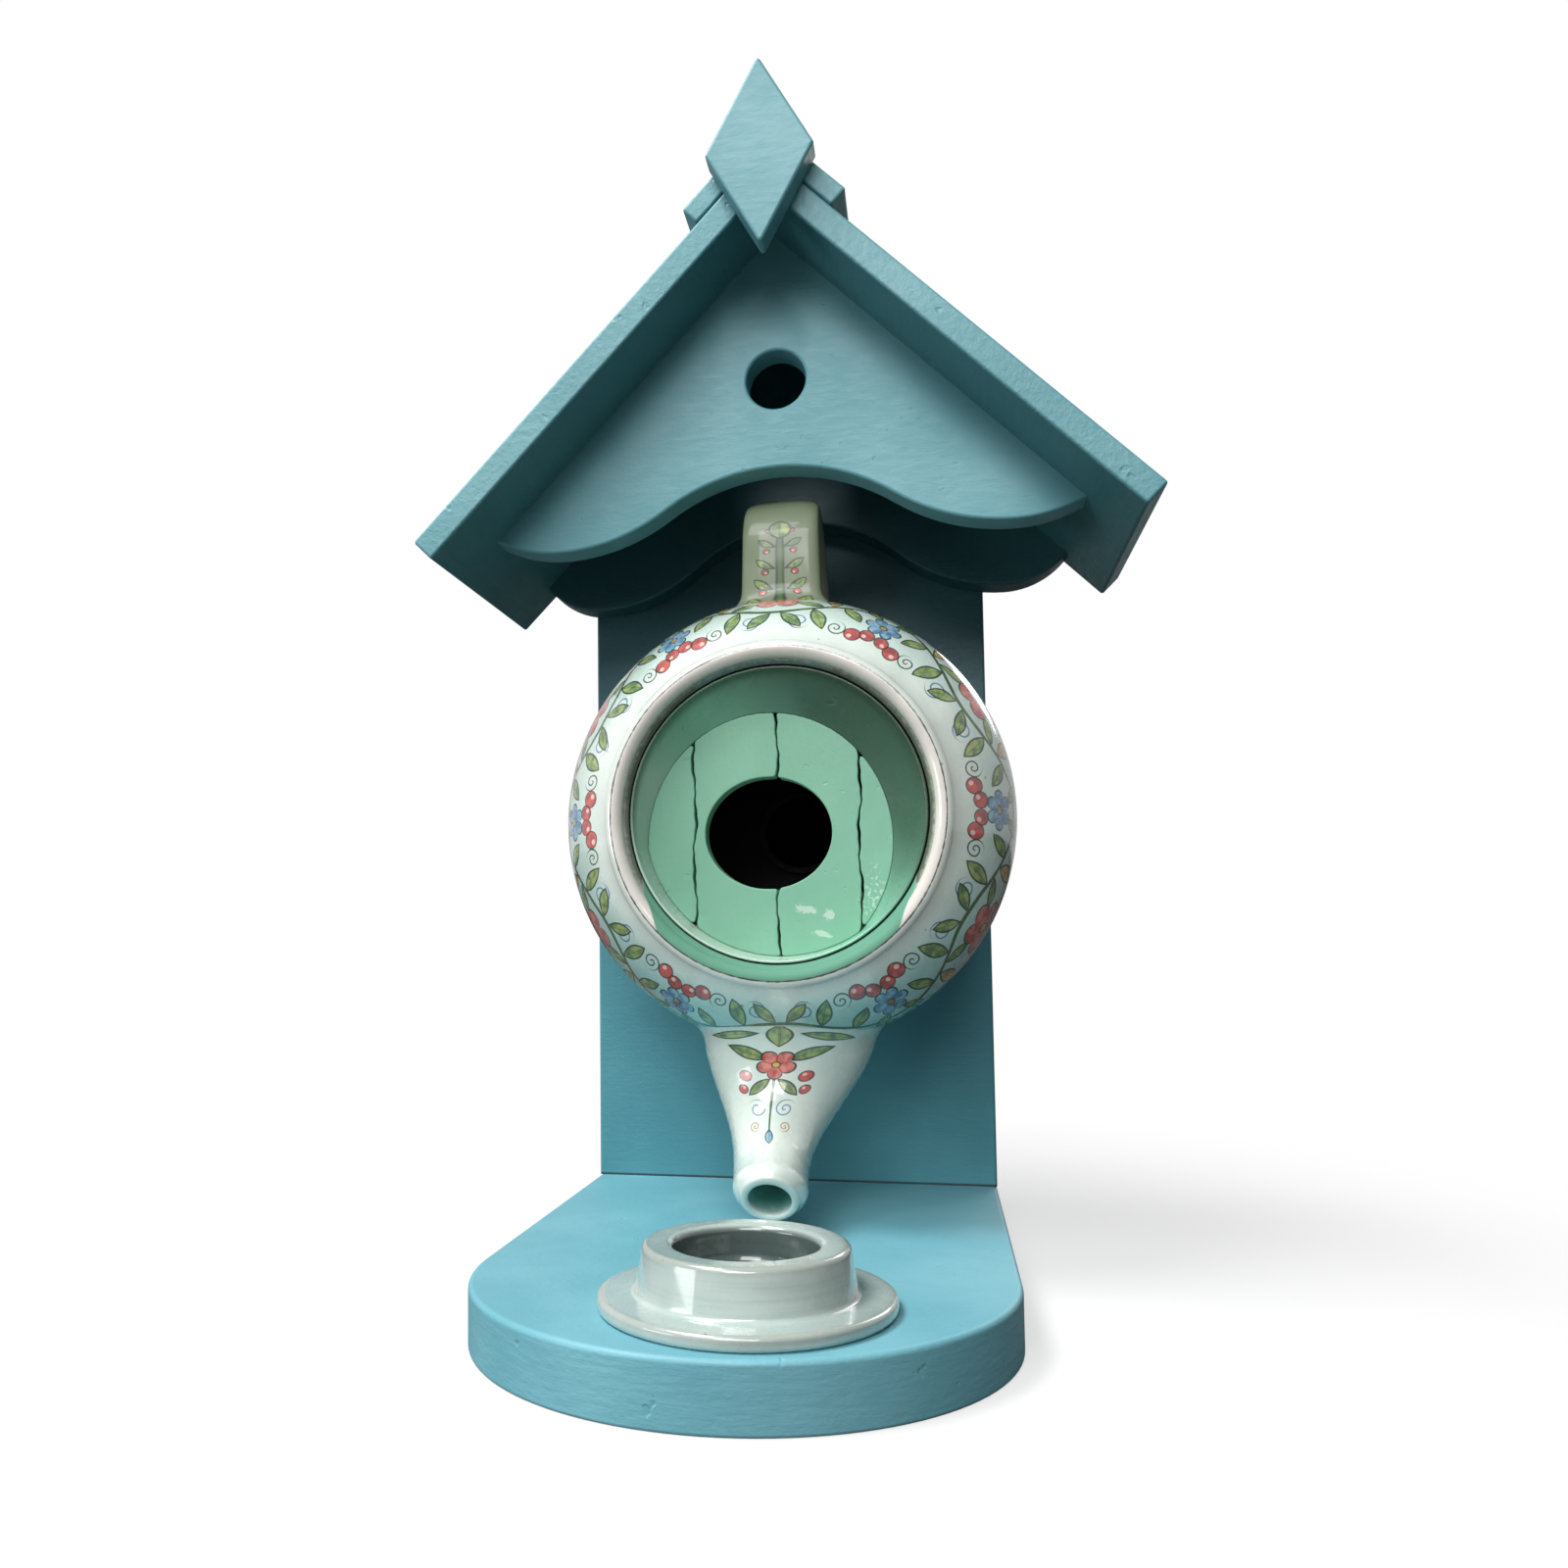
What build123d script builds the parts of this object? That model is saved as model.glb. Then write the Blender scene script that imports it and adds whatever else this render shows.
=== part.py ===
from build123d import *
import os
from math import acos, asin, cos, degrees, pi, radians, sin, sqrt, tan

# Teapot birdhouse: a glazed teapot lying on its back board under a pitched roof.
#
# Frame: X to the right, Y to the back, Z up. X = 0 is the pot's centre line, Y = 0 is the
# front face of the back board, and Z = 0 is the underside of the base. Millimetres.

os.makedirs("parts", exist_ok=True)

# ---------------------------------------------------------------- driving dimensions

# Back board and base
board_width = 120.0  # the base has the same width, and its front is a half circle
board_thick = 12.0
board_shift = -5.0  # the boards' centre line lies left of the pot's
board_lap = 26.5  # back board behind the rear gable, above the gable's lobes
base_thick = 13.5
base_side = 104.0  # straight side of the base, in front of the back board
base_round = 1.2
board_round = 0.8

# Pot body, measured from the back board along the pot's axis
pot_height = 104.5  # pot's axis above the base
pot_radius = 60.0
pot_depth = 74.5  # to the crest of the lip
pot_belly = 48.0  # to the widest section
pot_wall = 4.0
pot_floor = 4.5
foot_radius = 31.0
foot_width = 4.0
foot_high = 3.0
foot_round = 0.8
mouth_radius = 38.0
lip_radius = 2.0
lip_angle = radians(60.0)  # where the belly runs into the lip's round edge
throat_long = 10.0  # straight bore behind the lip, which carries the entrance
throat_wall = 3.0

# Pot's handle and spout
handle_rise = 30.0  # top of the strap above the pot's body
handle_wide = 23.0
handle_thick = 6.0
handle_round = 2.5
handle_front = 50.0  # front leg, from the back board
handle_crown = 40.0  # highest point
handle_back = 13.0  # back leg
handle_shoulder = 11.0  # drop from the crown to the straight of the front leg
handle_slope = 27.0  # drop from the crown to the straight of the back leg
handle_root = 9.0  # length of each leg below the pot's surface, cut off there
spout_reach = 89.0  # upper edge of the tip, from the back board
spout_tip_high = 11.0  # centre of the tip above the base
spout_root = 42.0  # root, from the back board
spout_root_in = 10.0  # root's centre inside the pot's outline
spout_root_wide = 24.0  # half widths of the oval root
spout_root_deep = 19.0
spout_tip_radius = 9.2
spout_wall = 3.6
spout_lip_round = 1.2
spout_fall = 29.0  # pull of the curve straight down from the root
spout_run = 22.0  # pull of the curve back from the tip
spout_slope = radians(6.0)  # slope of the tip's centre line
spout_mouth_tilt = radians(25.0)  # the tip's face looks this far down
spout_swell = 1.9  # how fast the spout widens towards its root
spout_sections = 8
drain_radius = 2.2  # strainer holes between the pot and the spout
drain_ring = 7.0
drain_count = 6
meridian_spans = 8
parting_margin = 0.8  # the body ends and the shoulder begins this far in front of the handle

# Roof
pitch = radians(45.0)
eave_overhang = 15.5  # roof beyond the outer tips of the gables, level
roof_thick = 7.0
roof_depth = 79.5
roof_round = 0.8
cap_long = 24.0  # ridge cap, down the slope
cap_thick = 5.5
finial_half_high = 24.2
finial_half_wide = 13.6
finial_thick = 7.0
finial_drop = 4.2  # centre of the finial below the ridge
dowel_radius = 2.0
dowel_in_finial = 5.0
dowel_in_roof = 9.0

# Gables
gable_thick = 9.0
gable_setback = 22.5  # front gable behind the roof's front
gable_rise = 63.8  # arch of the lower edge to the peak
arch_gap = 4.3  # arch above the pot's handle
tip_drop = 14.7  # outer tips below the arch
lobe_wide = 17.5  # lowest point of a lobe, in from the tip
front_scallop = 19.0  # lowest point of a lobe below the arch
rear_scallop = 22.8
vent_radius = 8.0
vent_rise = 24.0  # vent hole above the arch

# Entrance: a ring, four planks, two battens and a gasket
ring_gap = 0.4  # ring inside the pot's throat, on the radius
ring_recess = 3.5  # ring's front face behind the crest of the lip
ring_wall = 1.6
ring_shoulder = 2.0  # step behind the planks, along the axis
ring_step = 2.4  # the same step, across the axis
funnel_deep = 10.0
funnel_past = 1.0  # the funnel would be a full circle this far in front of the ring
panel_half_wide = 32.0
panel_half_high = 34.0
panel_x = -3.2  # panel's centre from the pot's axis
panel_z = -6.5
panel_gap = 0.2
plank_thick = 6.0
plank_joints = (-19.3, 2.5, 23.6)  # from the panel's centre
joint_gap = 0.6
joint_wander = 0.35
joint_wave = 26.0
joint_points = 9
hole_half_wide = 16.5
hole_half_high = 14.6
hole_z = -4.0  # hole's centre from the pot's axis
batten_high = 6.0
batten_thick = 4.0
batten_clear = 1.0  # batten outside the entrance hole
batten_inset = 0.6  # batten's ends inside the ring's step
gasket_wide = 3.0
gasket_seat = 0.7  # depth of its groove
gasket_behind = 3.0  # gasket behind the ring's front face
gasket_gap = 0.15

# Dish: the pot's lid, upside down, with its knob in a hole in the base
dish_front = 33.0  # dish's centre behind the front of the base
flange_radius = 30.0
flange_thick = 3.2
flange_round = 1.4
collar_radius = 22.4
collar_top_radius = 20.8
collar_high = 9.5
collar_foot_round = 0.8
collar_round = 2.2
dish_mouth_round = 2.4
dish_well_radius = 14.6
dish_well_round = 4.0
dish_floor = 3.4
knob_radius = 7.0
knob_long = 9.0
knob_neck = 5.0
knob_neck_long = 3.0
knob_round = 1.5
knob_gap = 0.6

# Fasteners
screw_radius = 1.75
screw_head_radius = 3.4
base_screw_bite = 24.5  # thread inside the back board
base_screw_edge = 20.0  # from the sides of the board
gable_screw_bite = 6.0  # thread inside the rear gable
gable_screw_edge = 15.0
gable_screw_high = 16.5  # above the rear gable's lobes
screw_fit = 0.05
point_taper = 2.0  # length of each point, in radii of the shank
brad_radius = 0.8
brad_head_radius = 1.5
brad_head_thick = 0.8
brad_bite = 11.0  # shank inside a gable
brad_below_cap = 12.0  # upper brads, down the slope from the ridge cap
brad_above_tip = 27.0  # lower brads, up the slope from the gable's tip
pot_screw_radius = 2.5
pot_screw_head_radius = 5.0
pot_screw_head_high = 3.2
pot_screw_cover = 2.0  # wood left behind the tip of the screw
pot_hole_gap = 0.5
washer_radius = 10.0
washer_thick = 1.5
grommet_radius = 12.0
grommet_thick = 2.0
pad_gap = 0.3

# Hanger plate, let into the back of the back board
hanger_wide = 16.0
hanger_high = 42.0
hanger_thick = 1.5
hanger_corner = 3.0
hanger_drop = 32.0  # centre of the plate below the top of the back board
keyhole_radius = 4.5
keyhole_neck = 2.2
keyhole_rise = 8.0
keyhole_pocket = 6.5  # room for a screw head behind the plate
keyhole_pocket_margin = 1.5
hanger_screw_edge = 5.0  # from the ends of the plate
hanger_screw_radius = 1.4
hanger_screw_head_radius = 2.8
hanger_screw_long = 9.0
hanger_gap = 0.15

# ---------------------------------------------------------------- places worked out

near = 0.01  # edges are picked by a place or a radius to within this
pot_z = base_thick + pot_height
handle_top_z = pot_z + pot_radius + handle_rise
arch_z = handle_top_z + arch_gap
peak_z = arch_z + gable_rise
ridge_z = peak_z + roof_thick / cos(pitch)
tip_z = arch_z - tip_drop
tip_x = (peak_z - tip_z) / tan(pitch)
roof_long = (tip_x + eave_overhang) / cos(pitch)
rear_lobe_z = arch_z - rear_scallop
board_top_z = rear_lobe_z + board_lap
gable_back = roof_depth - gable_setback - gable_thick
dish_y = -(base_side + board_width / 2 - dish_front)
finial_z = ridge_z - finial_drop
dowel_z = ridge_z - roof_thick / cos(pitch) / 2
hanger_z = board_top_z - hanger_drop
ring_radius = mouth_radius - ring_gap
ring_front = pot_depth - ring_recess
panel_front = ring_front - funnel_deep
panel_back = panel_front - plank_thick
ring_back = panel_back - ring_shoulder
foot_inner = foot_radius - foot_width
floor_front = foot_high + pot_floor
screw_seat = floor_front + grommet_thick + washer_thick
pot_screw_tip = pot_screw_cover - board_thick

pot_plane = Plane(origin=(0, 0, pot_z), x_dir=(1, 0, 0), z_dir=(0, 0, -1))  # radius, forward
pot_face = Plane(origin=(0, 0, pot_z), x_dir=(1, 0, 0), z_dir=(0, -1, 0))  # seen from the front
pot_axis = Axis((0, 0, pot_z), (0, -1, 0))
side_plane = Plane(origin=(0, 0, 0), x_dir=(0, -1, 0), z_dir=(-1, 0, 0))  # forward, up
wall_plane = Plane(origin=(board_shift, board_thick, 0), x_dir=(-1, 0, 0), z_dir=(0, 1, 0))


def countersunk_screw(radius, head_radius, length):
    """One wood screw along -Z, with the flat top of its head at the origin."""
    head_high = head_radius - radius
    with BuildPart() as screw:
        with BuildSketch(Plane.XZ):
            with BuildLine():
                Polyline(
                    (0, 0),
                    (head_radius, 0),
                    (radius, -head_high),
                    (radius, point_taper * radius - length),
                    (0, -length),
                    close=True,
                )
            make_face()
        revolve(axis=Axis.Z)
    return screw.part


# ---------------------------------------------------------------- base and back board

base_screw_reach = board_width / 2 - base_screw_edge
gable_screw_reach = board_width / 2 - gable_screw_edge
base_screw_planes = [
    Plane(origin=(board_shift + side * base_screw_reach, board_thick / 2, 0), z_dir=(0, 0, -1))
    for side in (-1, 1)
]
gable_screw_planes = [
    Plane(
        origin=(board_shift + side * gable_screw_reach, board_thick, rear_lobe_z + gable_screw_high),
        z_dir=(0, 1, 0),
    )
    for side in (-1, 1)
]
hanger_screw_reach = hanger_high / 2 - hanger_screw_edge
hanger_screw_planes = [
    Plane(
        origin=(board_shift, board_thick, hanger_z + side * hanger_screw_reach),
        z_dir=(0, 1, 0),
    )
    for side in (-1, 1)
]
screw_hole_radius = screw_radius + screw_fit
screw_cone_radius = screw_head_radius + screw_fit

with BuildPart() as base_board:
    with BuildSketch(Plane.XY):
        with Locations((board_shift, (board_thick - base_side) / 2)):
            Rectangle(board_width, base_side + board_thick)
        with Locations((board_shift, -base_side)):
            Circle(board_width / 2)
    extrude(amount=base_thick)
    outline = base_board.edges().filter_by(lambda e: e.center().Y < board_thick - near)
    fillet(outline.group_by(Axis.Z)[-1], base_round)
    outline = base_board.edges().filter_by(lambda e: e.center().Y < board_thick - near)
    fillet(outline.group_by(Axis.Z)[0], board_round)
    with Locations((0, dish_y, base_thick)):
        Hole(knob_radius + knob_gap)
    with Locations(*base_screw_planes):
        CounterSinkHole(screw_hole_radius, screw_cone_radius, counter_sink_angle=90)
base_board.part.label = "base_board"
export_step(base_board.part, "parts/base_board.step")

with BuildPart() as back_board:
    with BuildSketch(Plane.XY.offset(base_thick)):
        with Locations((board_shift, board_thick / 2)):
            Rectangle(board_width, board_thick)
    extrude(amount=board_top_z - base_thick)
    fillet(back_board.edges().filter_by(Axis.Z), board_round)
    with Locations(*[plane.offset(-base_thick) for plane in base_screw_planes]):
        Hole(screw_hole_radius, depth=base_screw_bite)
    with Locations(*gable_screw_planes):
        CounterSinkHole(
            screw_hole_radius, screw_cone_radius, depth=board_thick, counter_sink_angle=90
        )
    with Locations(pot_face):
        Hole(pot_screw_radius + screw_fit, depth=board_thick - pot_screw_cover)
    with BuildSketch(wall_plane):
        with Locations((0, hanger_z)):
            Rectangle(hanger_wide + 2 * hanger_gap, hanger_high + 2 * hanger_gap)
    extrude(amount=-hanger_thick, mode=Mode.SUBTRACT)
    with BuildSketch(wall_plane):
        with Locations((0, hanger_z + keyhole_rise / 2)):
            SlotCenterToCenter(
                keyhole_rise, 2 * (keyhole_radius + keyhole_pocket_margin), rotation=90
            )
    extrude(amount=-(hanger_thick + keyhole_pocket), mode=Mode.SUBTRACT)
    with Locations(*[plane.offset(-hanger_thick) for plane in hanger_screw_planes]):
        Hole(hanger_screw_radius + screw_fit, depth=hanger_screw_long - hanger_thick)
back_board.part.label = "back_board"
export_step(back_board.part, "parts/back_board.step")

base_screw = countersunk_screw(screw_radius, screw_head_radius, base_thick + base_screw_bite)
with BuildPart() as base_screws:
    with Locations(*base_screw_planes):
        add(base_screw)
base_screws.part.label = "base_screws"
export_step(base_screws.part, "parts/base_screws.step")

# ---------------------------------------------------------------- places on the roof


def slope_point(side, along, out):
    """Point of the roof's cross-section, down the slope and out from its outer face."""
    x = side * (along * cos(pitch) + out * sin(pitch))
    return (x, ridge_z - along * sin(pitch) + out * cos(pitch))


def ridge_point(out):
    """Point of the ridge's plumb joint, out from the roof's outer face."""
    return (0, ridge_z + out / cos(pitch))


def brad_planes(side, depth):
    """Two panel pins on one slope, driven square to the roof into one gable."""
    tip_along = tip_x / cos(pitch)
    planes = []
    for along in (cap_long + brad_below_cap, tip_along - brad_above_tip):
        x, z = slope_point(side, along, 0)
        planes.append(Plane(origin=(x, -depth, z), z_dir=(side * sin(pitch), 0, cos(pitch))))
    return planes


rear_brads = brad_planes(-1, gable_thick / 2) + brad_planes(1, gable_thick / 2)
front_depth = gable_back + gable_thick / 2
front_brads = brad_planes(-1, front_depth) + brad_planes(1, front_depth)
dowel_face = Plane(origin=(0, -roof_depth, dowel_z), x_dir=(1, 0, 0), z_dir=(0, -1, 0))

# ---------------------------------------------------------------- gables


def gable_outline(scallop):
    """Gable seen from the front: straight under the roof, with two lobes and an arch below.

    Each half of the scallop is two equal arcs, one convex and one concave, and the lobe's
    outer end is one more arc that rises to the tip under the roof.
    """
    lobe_x = tip_x - lobe_wide
    lobe_z = arch_z - scallop
    middle = (lobe_x / 2, arch_z - scallop / 2)
    with BuildSketch() as outline:
        with BuildLine():
            crown = TangentArc((0, arch_z), middle, tangent=(1, 0))
            swing = TangentArc(middle, (lobe_x, lobe_z), tangent=crown % 1)
            lobe = TangentArc((lobe_x, lobe_z), (tip_x, tip_z), tangent=swing % 1)
            Polyline(lobe @ 1, (0, peak_z), (0, arch_z))
        make_face()
        mirror(about=Plane.YZ)
    return outline.sketch


with BuildPart() as front_gable:
    with BuildSketch(Plane.XZ.offset(gable_back)):
        add(gable_outline(front_scallop))
        with Locations((0, arch_z + vent_rise)):
            Circle(vent_radius, mode=Mode.SUBTRACT)
    extrude(amount=gable_thick)
    fillet(front_gable.edges().filter_by(GeomType.CIRCLE), roof_round)
    with Locations(*[plane.offset(-roof_thick) for plane in front_brads]):
        Hole(brad_radius + screw_fit, depth=brad_bite)
front_gable.part.label = "front_gable"
export_step(front_gable.part, "parts/front_gable.step")

with BuildPart() as rear_gable:
    with BuildSketch(Plane.XZ):
        add(gable_outline(rear_scallop))
    extrude(amount=gable_thick)
    arcs = rear_gable.edges().filter_by(GeomType.CIRCLE)
    fillet(arcs.group_by(Axis.Y)[0], roof_round)
    with Locations(*[plane.offset(-board_thick) for plane in gable_screw_planes]):
        Hole(screw_hole_radius, depth=gable_screw_bite)
    with Locations(*[plane.offset(-roof_thick) for plane in rear_brads]):
        Hole(brad_radius + screw_fit, depth=brad_bite)
rear_gable.part.label = "rear_gable"
export_step(rear_gable.part, "parts/rear_gable.step")

gable_screw = countersunk_screw(screw_radius, screw_head_radius, board_thick + gable_screw_bite)
with BuildPart() as gable_screws:
    with Locations(*gable_screw_planes):
        add(gable_screw)
gable_screws.part.label = "gable_screws"
export_step(gable_screws.part, "parts/gable_screws.step")

# ---------------------------------------------------------------- roof


def slope_board(side, inside, outside, length):
    """Board on one slope, cut plumb at the ridge and square at its lower end."""
    with BuildPart() as board:
        with BuildSketch(Plane.XZ):
            with BuildLine():
                Polyline(
                    ridge_point(outside),
                    slope_point(side, length, outside),
                    slope_point(side, length, inside),
                    ridge_point(inside),
                    close=True,
                )
            make_face()
        extrude(amount=roof_depth)
        free = board.edges().filter_by(lambda e: abs(e.center().X) > near)
        fillet(free.filter_by(lambda e: e.center().Y < -near), min(roof_round, cap_thick / 3))
    return board.part


with BuildPart() as brad:
    with BuildSketch(Plane.XZ):
        with BuildLine():
            Polyline(
                (0, 0),
                (brad_head_radius, 0),
                (brad_head_radius, -brad_head_thick),
                (brad_radius, -brad_head_thick),
                (brad_radius, point_taper * brad_radius - roof_thick - brad_bite),
                (0, -roof_thick - brad_bite),
                close=True,
            )
        make_face()
    revolve(axis=Axis.Z)

with BuildPart() as roof_brads:
    with Locations(*rear_brads, *front_brads):
        add(brad.part)
roof_brads.part.label = "roof_brads"
export_step(roof_brads.part, "parts/roof_brads.step")

for side, name in ((-1, "left"), (1, "right")):
    plain_board = slope_board(side, -roof_thick, 0, roof_long)
    with BuildPart() as roof_board:
        add(plain_board)
        with Locations(*brad_planes(side, gable_thick / 2), *brad_planes(side, front_depth)):
            CounterBoreHole(
                brad_radius + screw_fit, brad_head_radius + screw_fit, brad_head_thick
            )
        with Locations(dowel_face):
            Hole(dowel_radius + screw_fit, depth=dowel_in_roof)
    roof_board.part.label = f"roof_{name}"
    export_step(roof_board.part, f"parts/roof_{name}.step")

    cap_board = slope_board(side, 0, cap_thick, cap_long)
    with BuildPart() as ridge_cap:
        add(cap_board)
    ridge_cap.part.label = f"ridge_cap_{name}"
    export_step(ridge_cap.part, f"parts/ridge_cap_{name}.step")

with BuildPart() as finial:
    with BuildSketch(Plane.XZ.offset(roof_depth)):
        with Locations((0, finial_z)):
            Polygon(
                (0, finial_half_high),
                (finial_half_wide, 0),
                (0, -finial_half_high),
                (-finial_half_wide, 0),
                align=None,
            )
    extrude(amount=finial_thick)
    fillet(finial.edges(), roof_round)
    with Locations(-dowel_face):
        Hole(dowel_radius + screw_fit, depth=dowel_in_finial)
finial.part.label = "finial"
export_step(finial.part, "parts/finial.step")

with BuildPart() as finial_dowel:
    with BuildSketch(Plane.XZ.offset(roof_depth - dowel_in_roof)):
        with Locations((0, dowel_z)):
            Circle(dowel_radius)
    extrude(amount=dowel_in_roof + dowel_in_finial)
finial_dowel.part.label = "finial_dowel"
export_step(finial_dowel.part, "parts/finial_dowel.step")

# ---------------------------------------------------------------- hanger

with BuildPart() as hanger_plate:
    with BuildSketch(wall_plane.offset(-hanger_thick)):
        with Locations((0, hanger_z)):
            RectangleRounded(hanger_wide, hanger_high, hanger_corner)
        with Locations((0, hanger_z)):
            Circle(keyhole_radius, mode=Mode.SUBTRACT)
        with Locations((0, hanger_z + keyhole_rise / 2)):
            SlotCenterToCenter(keyhole_rise, 2 * keyhole_neck, rotation=90, mode=Mode.SUBTRACT)
    extrude(amount=hanger_thick)
    with Locations(*hanger_screw_planes):
        CounterSinkHole(
            hanger_screw_radius + screw_fit,
            hanger_screw_head_radius + screw_fit,
            counter_sink_angle=90,
        )
hanger_plate.part.label = "hanger_plate"
export_step(hanger_plate.part, "parts/hanger_plate.step")

hanger_screw = countersunk_screw(hanger_screw_radius, hanger_screw_head_radius, hanger_screw_long)
with BuildPart() as hanger_screws:
    with Locations(*hanger_screw_planes):
        add(hanger_screw)
hanger_screws.part.label = "hanger_screws"
export_step(hanger_screws.part, "parts/hanger_screws.step")

# ---------------------------------------------------------------- pot

lip_center = (mouth_radius + lip_radius, pot_depth - lip_radius)
lip_meet_radius = lip_center[0] + lip_radius * cos(lip_angle)
lip_meet = lip_center[1] + lip_radius * sin(lip_angle)
back_reach = (pot_belly - foot_high) / sqrt(1 - (foot_radius / pot_radius) ** 2)
front_reach = (lip_meet - pot_belly) / sqrt(1 - (lip_meet_radius / pot_radius) ** 2)


def pot_surface(forward):
    """Radius of the pot's outer surface at one distance from the back board."""
    reach = back_reach if forward < pot_belly else front_reach
    return pot_radius * sqrt(1 - ((forward - pot_belly) / reach) ** 2)


def belly_curve(radius, reach, start, end):
    """Part of an ellipse about the belly, as a spline through points at even angles."""
    points = []
    for i in range(meridian_spans + 1):
        angle = start + (end - start) * i / meridian_spans
        points.append((radius * cos(angle), pot_belly + reach * sin(angle)))
    ends = [(-radius * sin(angle), reach * cos(angle)) for angle in (start, end)]
    return Spline(*points, tangents=ends)


def meridian(wall, back_end, front_radius):
    """Two quarter ellipses that meet at the belly, a wall's thickness inside the outside.

    The back one starts at back_end along the axis, and the front one ends at front_radius.
    """
    radius = pot_radius - wall
    back_angle = asin((pot_belly - back_end) / (back_reach - wall))
    front_angle = acos(front_radius / radius)
    back = belly_curve(radius, back_reach - wall, -back_angle, 0)
    front = belly_curve(radius, front_reach - wall, 0, front_angle)
    return back @ 0, front @ 1


with BuildPart() as pot_form:
    with BuildSketch(pot_plane):
        with BuildLine():
            heel, brow = meridian(0, foot_high, lip_meet_radius)
            Polyline(brow, (0, brow.Y), (0, 0), (foot_radius, 0), heel)
        make_face()
    revolve(axis=pot_axis)

drain_plane = Plane(origin=(0, -spout_root, pot_z - pot_radius), z_dir=(0, 0, -1))
drain_deep = 2.5 * pot_wall
throat_back = lip_center[1] - throat_long
parting = handle_front + handle_thick / 2 + parting_margin
with BuildPart() as pot_shell:
    with BuildSketch(pot_plane):
        with BuildLine():
            heel, brow = meridian(0, foot_high, lip_meet_radius)
            CenterArc(lip_center, lip_radius, degrees(lip_angle), 180 - degrees(lip_angle))
            floor_edge, throat_edge = meridian(pot_wall, floor_front, mouth_radius + throat_wall)
            Polyline(
                (mouth_radius, lip_center[1]),
                (mouth_radius, throat_back),
                (mouth_radius + throat_wall, throat_back),
                throat_edge,
            )
            Polyline(
                floor_edge,
                (0, floor_front),
                (0, foot_high),
                (foot_inner, foot_high),
                (foot_inner, 0),
                (foot_radius, 0),
                heel,
            )
        make_face()
    revolve(axis=pot_axis)
    foot_rims = pot_shell.edges().filter_by(GeomType.CIRCLE).group_by(Axis.Y)[-1]
    fillet(foot_rims, foot_round)
    with Locations(pot_face.offset(floor_front)):
        Hole(pot_screw_radius + pot_hole_gap, depth=2 * pot_floor)
    with Locations(drain_plane):
        Hole(drain_radius, depth=drain_deep)
        with PolarLocations(drain_ring, drain_count):
            Hole(drain_radius, depth=drain_deep)

for name, keep in (("body", Keep.BOTTOM), ("shoulder", Keep.TOP)):
    with BuildPart() as shell_part:
        add(pot_shell.part)
        split(bisect_by=pot_face.offset(parting), keep=keep)
    shell_part.part.label = f"teapot_{name}"
    export_step(shell_part.part, f"parts/teapot_{name}.step")

mouth_z = base_thick + spout_tip_high
with BuildLine(side_plane) as spout_line:
    Bezier(
        (spout_root, pot_z - pot_radius + spout_root_in),
        (spout_root, pot_z - pot_radius + spout_root_in - spout_fall),
        (spout_reach - spout_run * cos(spout_slope), mouth_z + spout_run * sin(spout_slope)),
        (spout_reach, mouth_z),
    )


def spout_form(wall):
    """Loft along the spout's centre line, a wall's thickness inside its outside.

    Each section is an oval square to the line, and its half widths grow towards the root
    with a power of the distance from the tip.
    """
    with BuildPart() as form:
        for i in range(spout_sections + 1):
            along = i / spout_sections
            swell = (1 - along) ** spout_swell
            wide = spout_tip_radius + (spout_root_wide - spout_tip_radius) * swell
            deep = spout_tip_radius + (spout_root_deep - spout_tip_radius) * swell
            center = spout_line.line @ along
            with BuildSketch(Plane(center, x_dir=(1, 0, 0), z_dir=spout_line.line % along)):
                Ellipse(wide - wall, deep - wall)
        loft()
    return form.part


spout_outside = spout_form(0)
spout_bore = spout_form(spout_wall)
mouth_back = spout_tip_radius * sin(spout_mouth_tilt)
mouth_normal = (0, -cos(spout_mouth_tilt), -sin(spout_mouth_tilt))
spout_mouth = Plane(origin=(0, mouth_back - spout_reach, mouth_z), z_dir=mouth_normal)
with BuildPart() as teapot_spout:
    add(spout_outside)
    add(spout_bore, mode=Mode.SUBTRACT)
    add(pot_form.part, mode=Mode.SUBTRACT)
    split(bisect_by=spout_mouth, keep=Keep.BOTTOM)
    fillet(teapot_spout.faces().filter_by(GeomType.PLANE).edges(), spout_lip_round)
teapot_spout.part.label = "teapot_spout"
export_step(teapot_spout.part, "parts/teapot_spout.step")

crown_z = handle_top_z - handle_thick / 2
front_root = (handle_front, pot_z + pot_surface(handle_front) - handle_root)
back_root = (handle_back, pot_z + pot_surface(handle_back) - handle_root)
front_turn = (handle_crown, crown_z - handle_shoulder)
back_turn = (handle_crown, crown_z - handle_slope)
front_side = handle_front - handle_crown
back_side = handle_crown - handle_back
with BuildPart() as teapot_handle:
    with BuildLine(side_plane) as strap_line:
        Line(front_root, (handle_front, front_turn[1]))
        EllipticalCenterArc(front_turn, front_side, handle_shoulder, 0, arc_size=90)
        EllipticalCenterArc(back_turn, back_side, handle_slope, 90, arc_size=90)
        Line((handle_back, back_turn[1]), back_root)
    with BuildSketch(Plane(strap_line.line @ 0, x_dir=(1, 0, 0), z_dir=(0, 0, 1))):
        RectangleRounded(handle_wide, handle_thick, handle_round)
    sweep()
    add(pot_form.part, mode=Mode.SUBTRACT)
teapot_handle.part.label = "teapot_handle"
export_step(teapot_handle.part, "parts/teapot_handle.step")

# ---------------------------------------------------------------- what holds the pot

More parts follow.
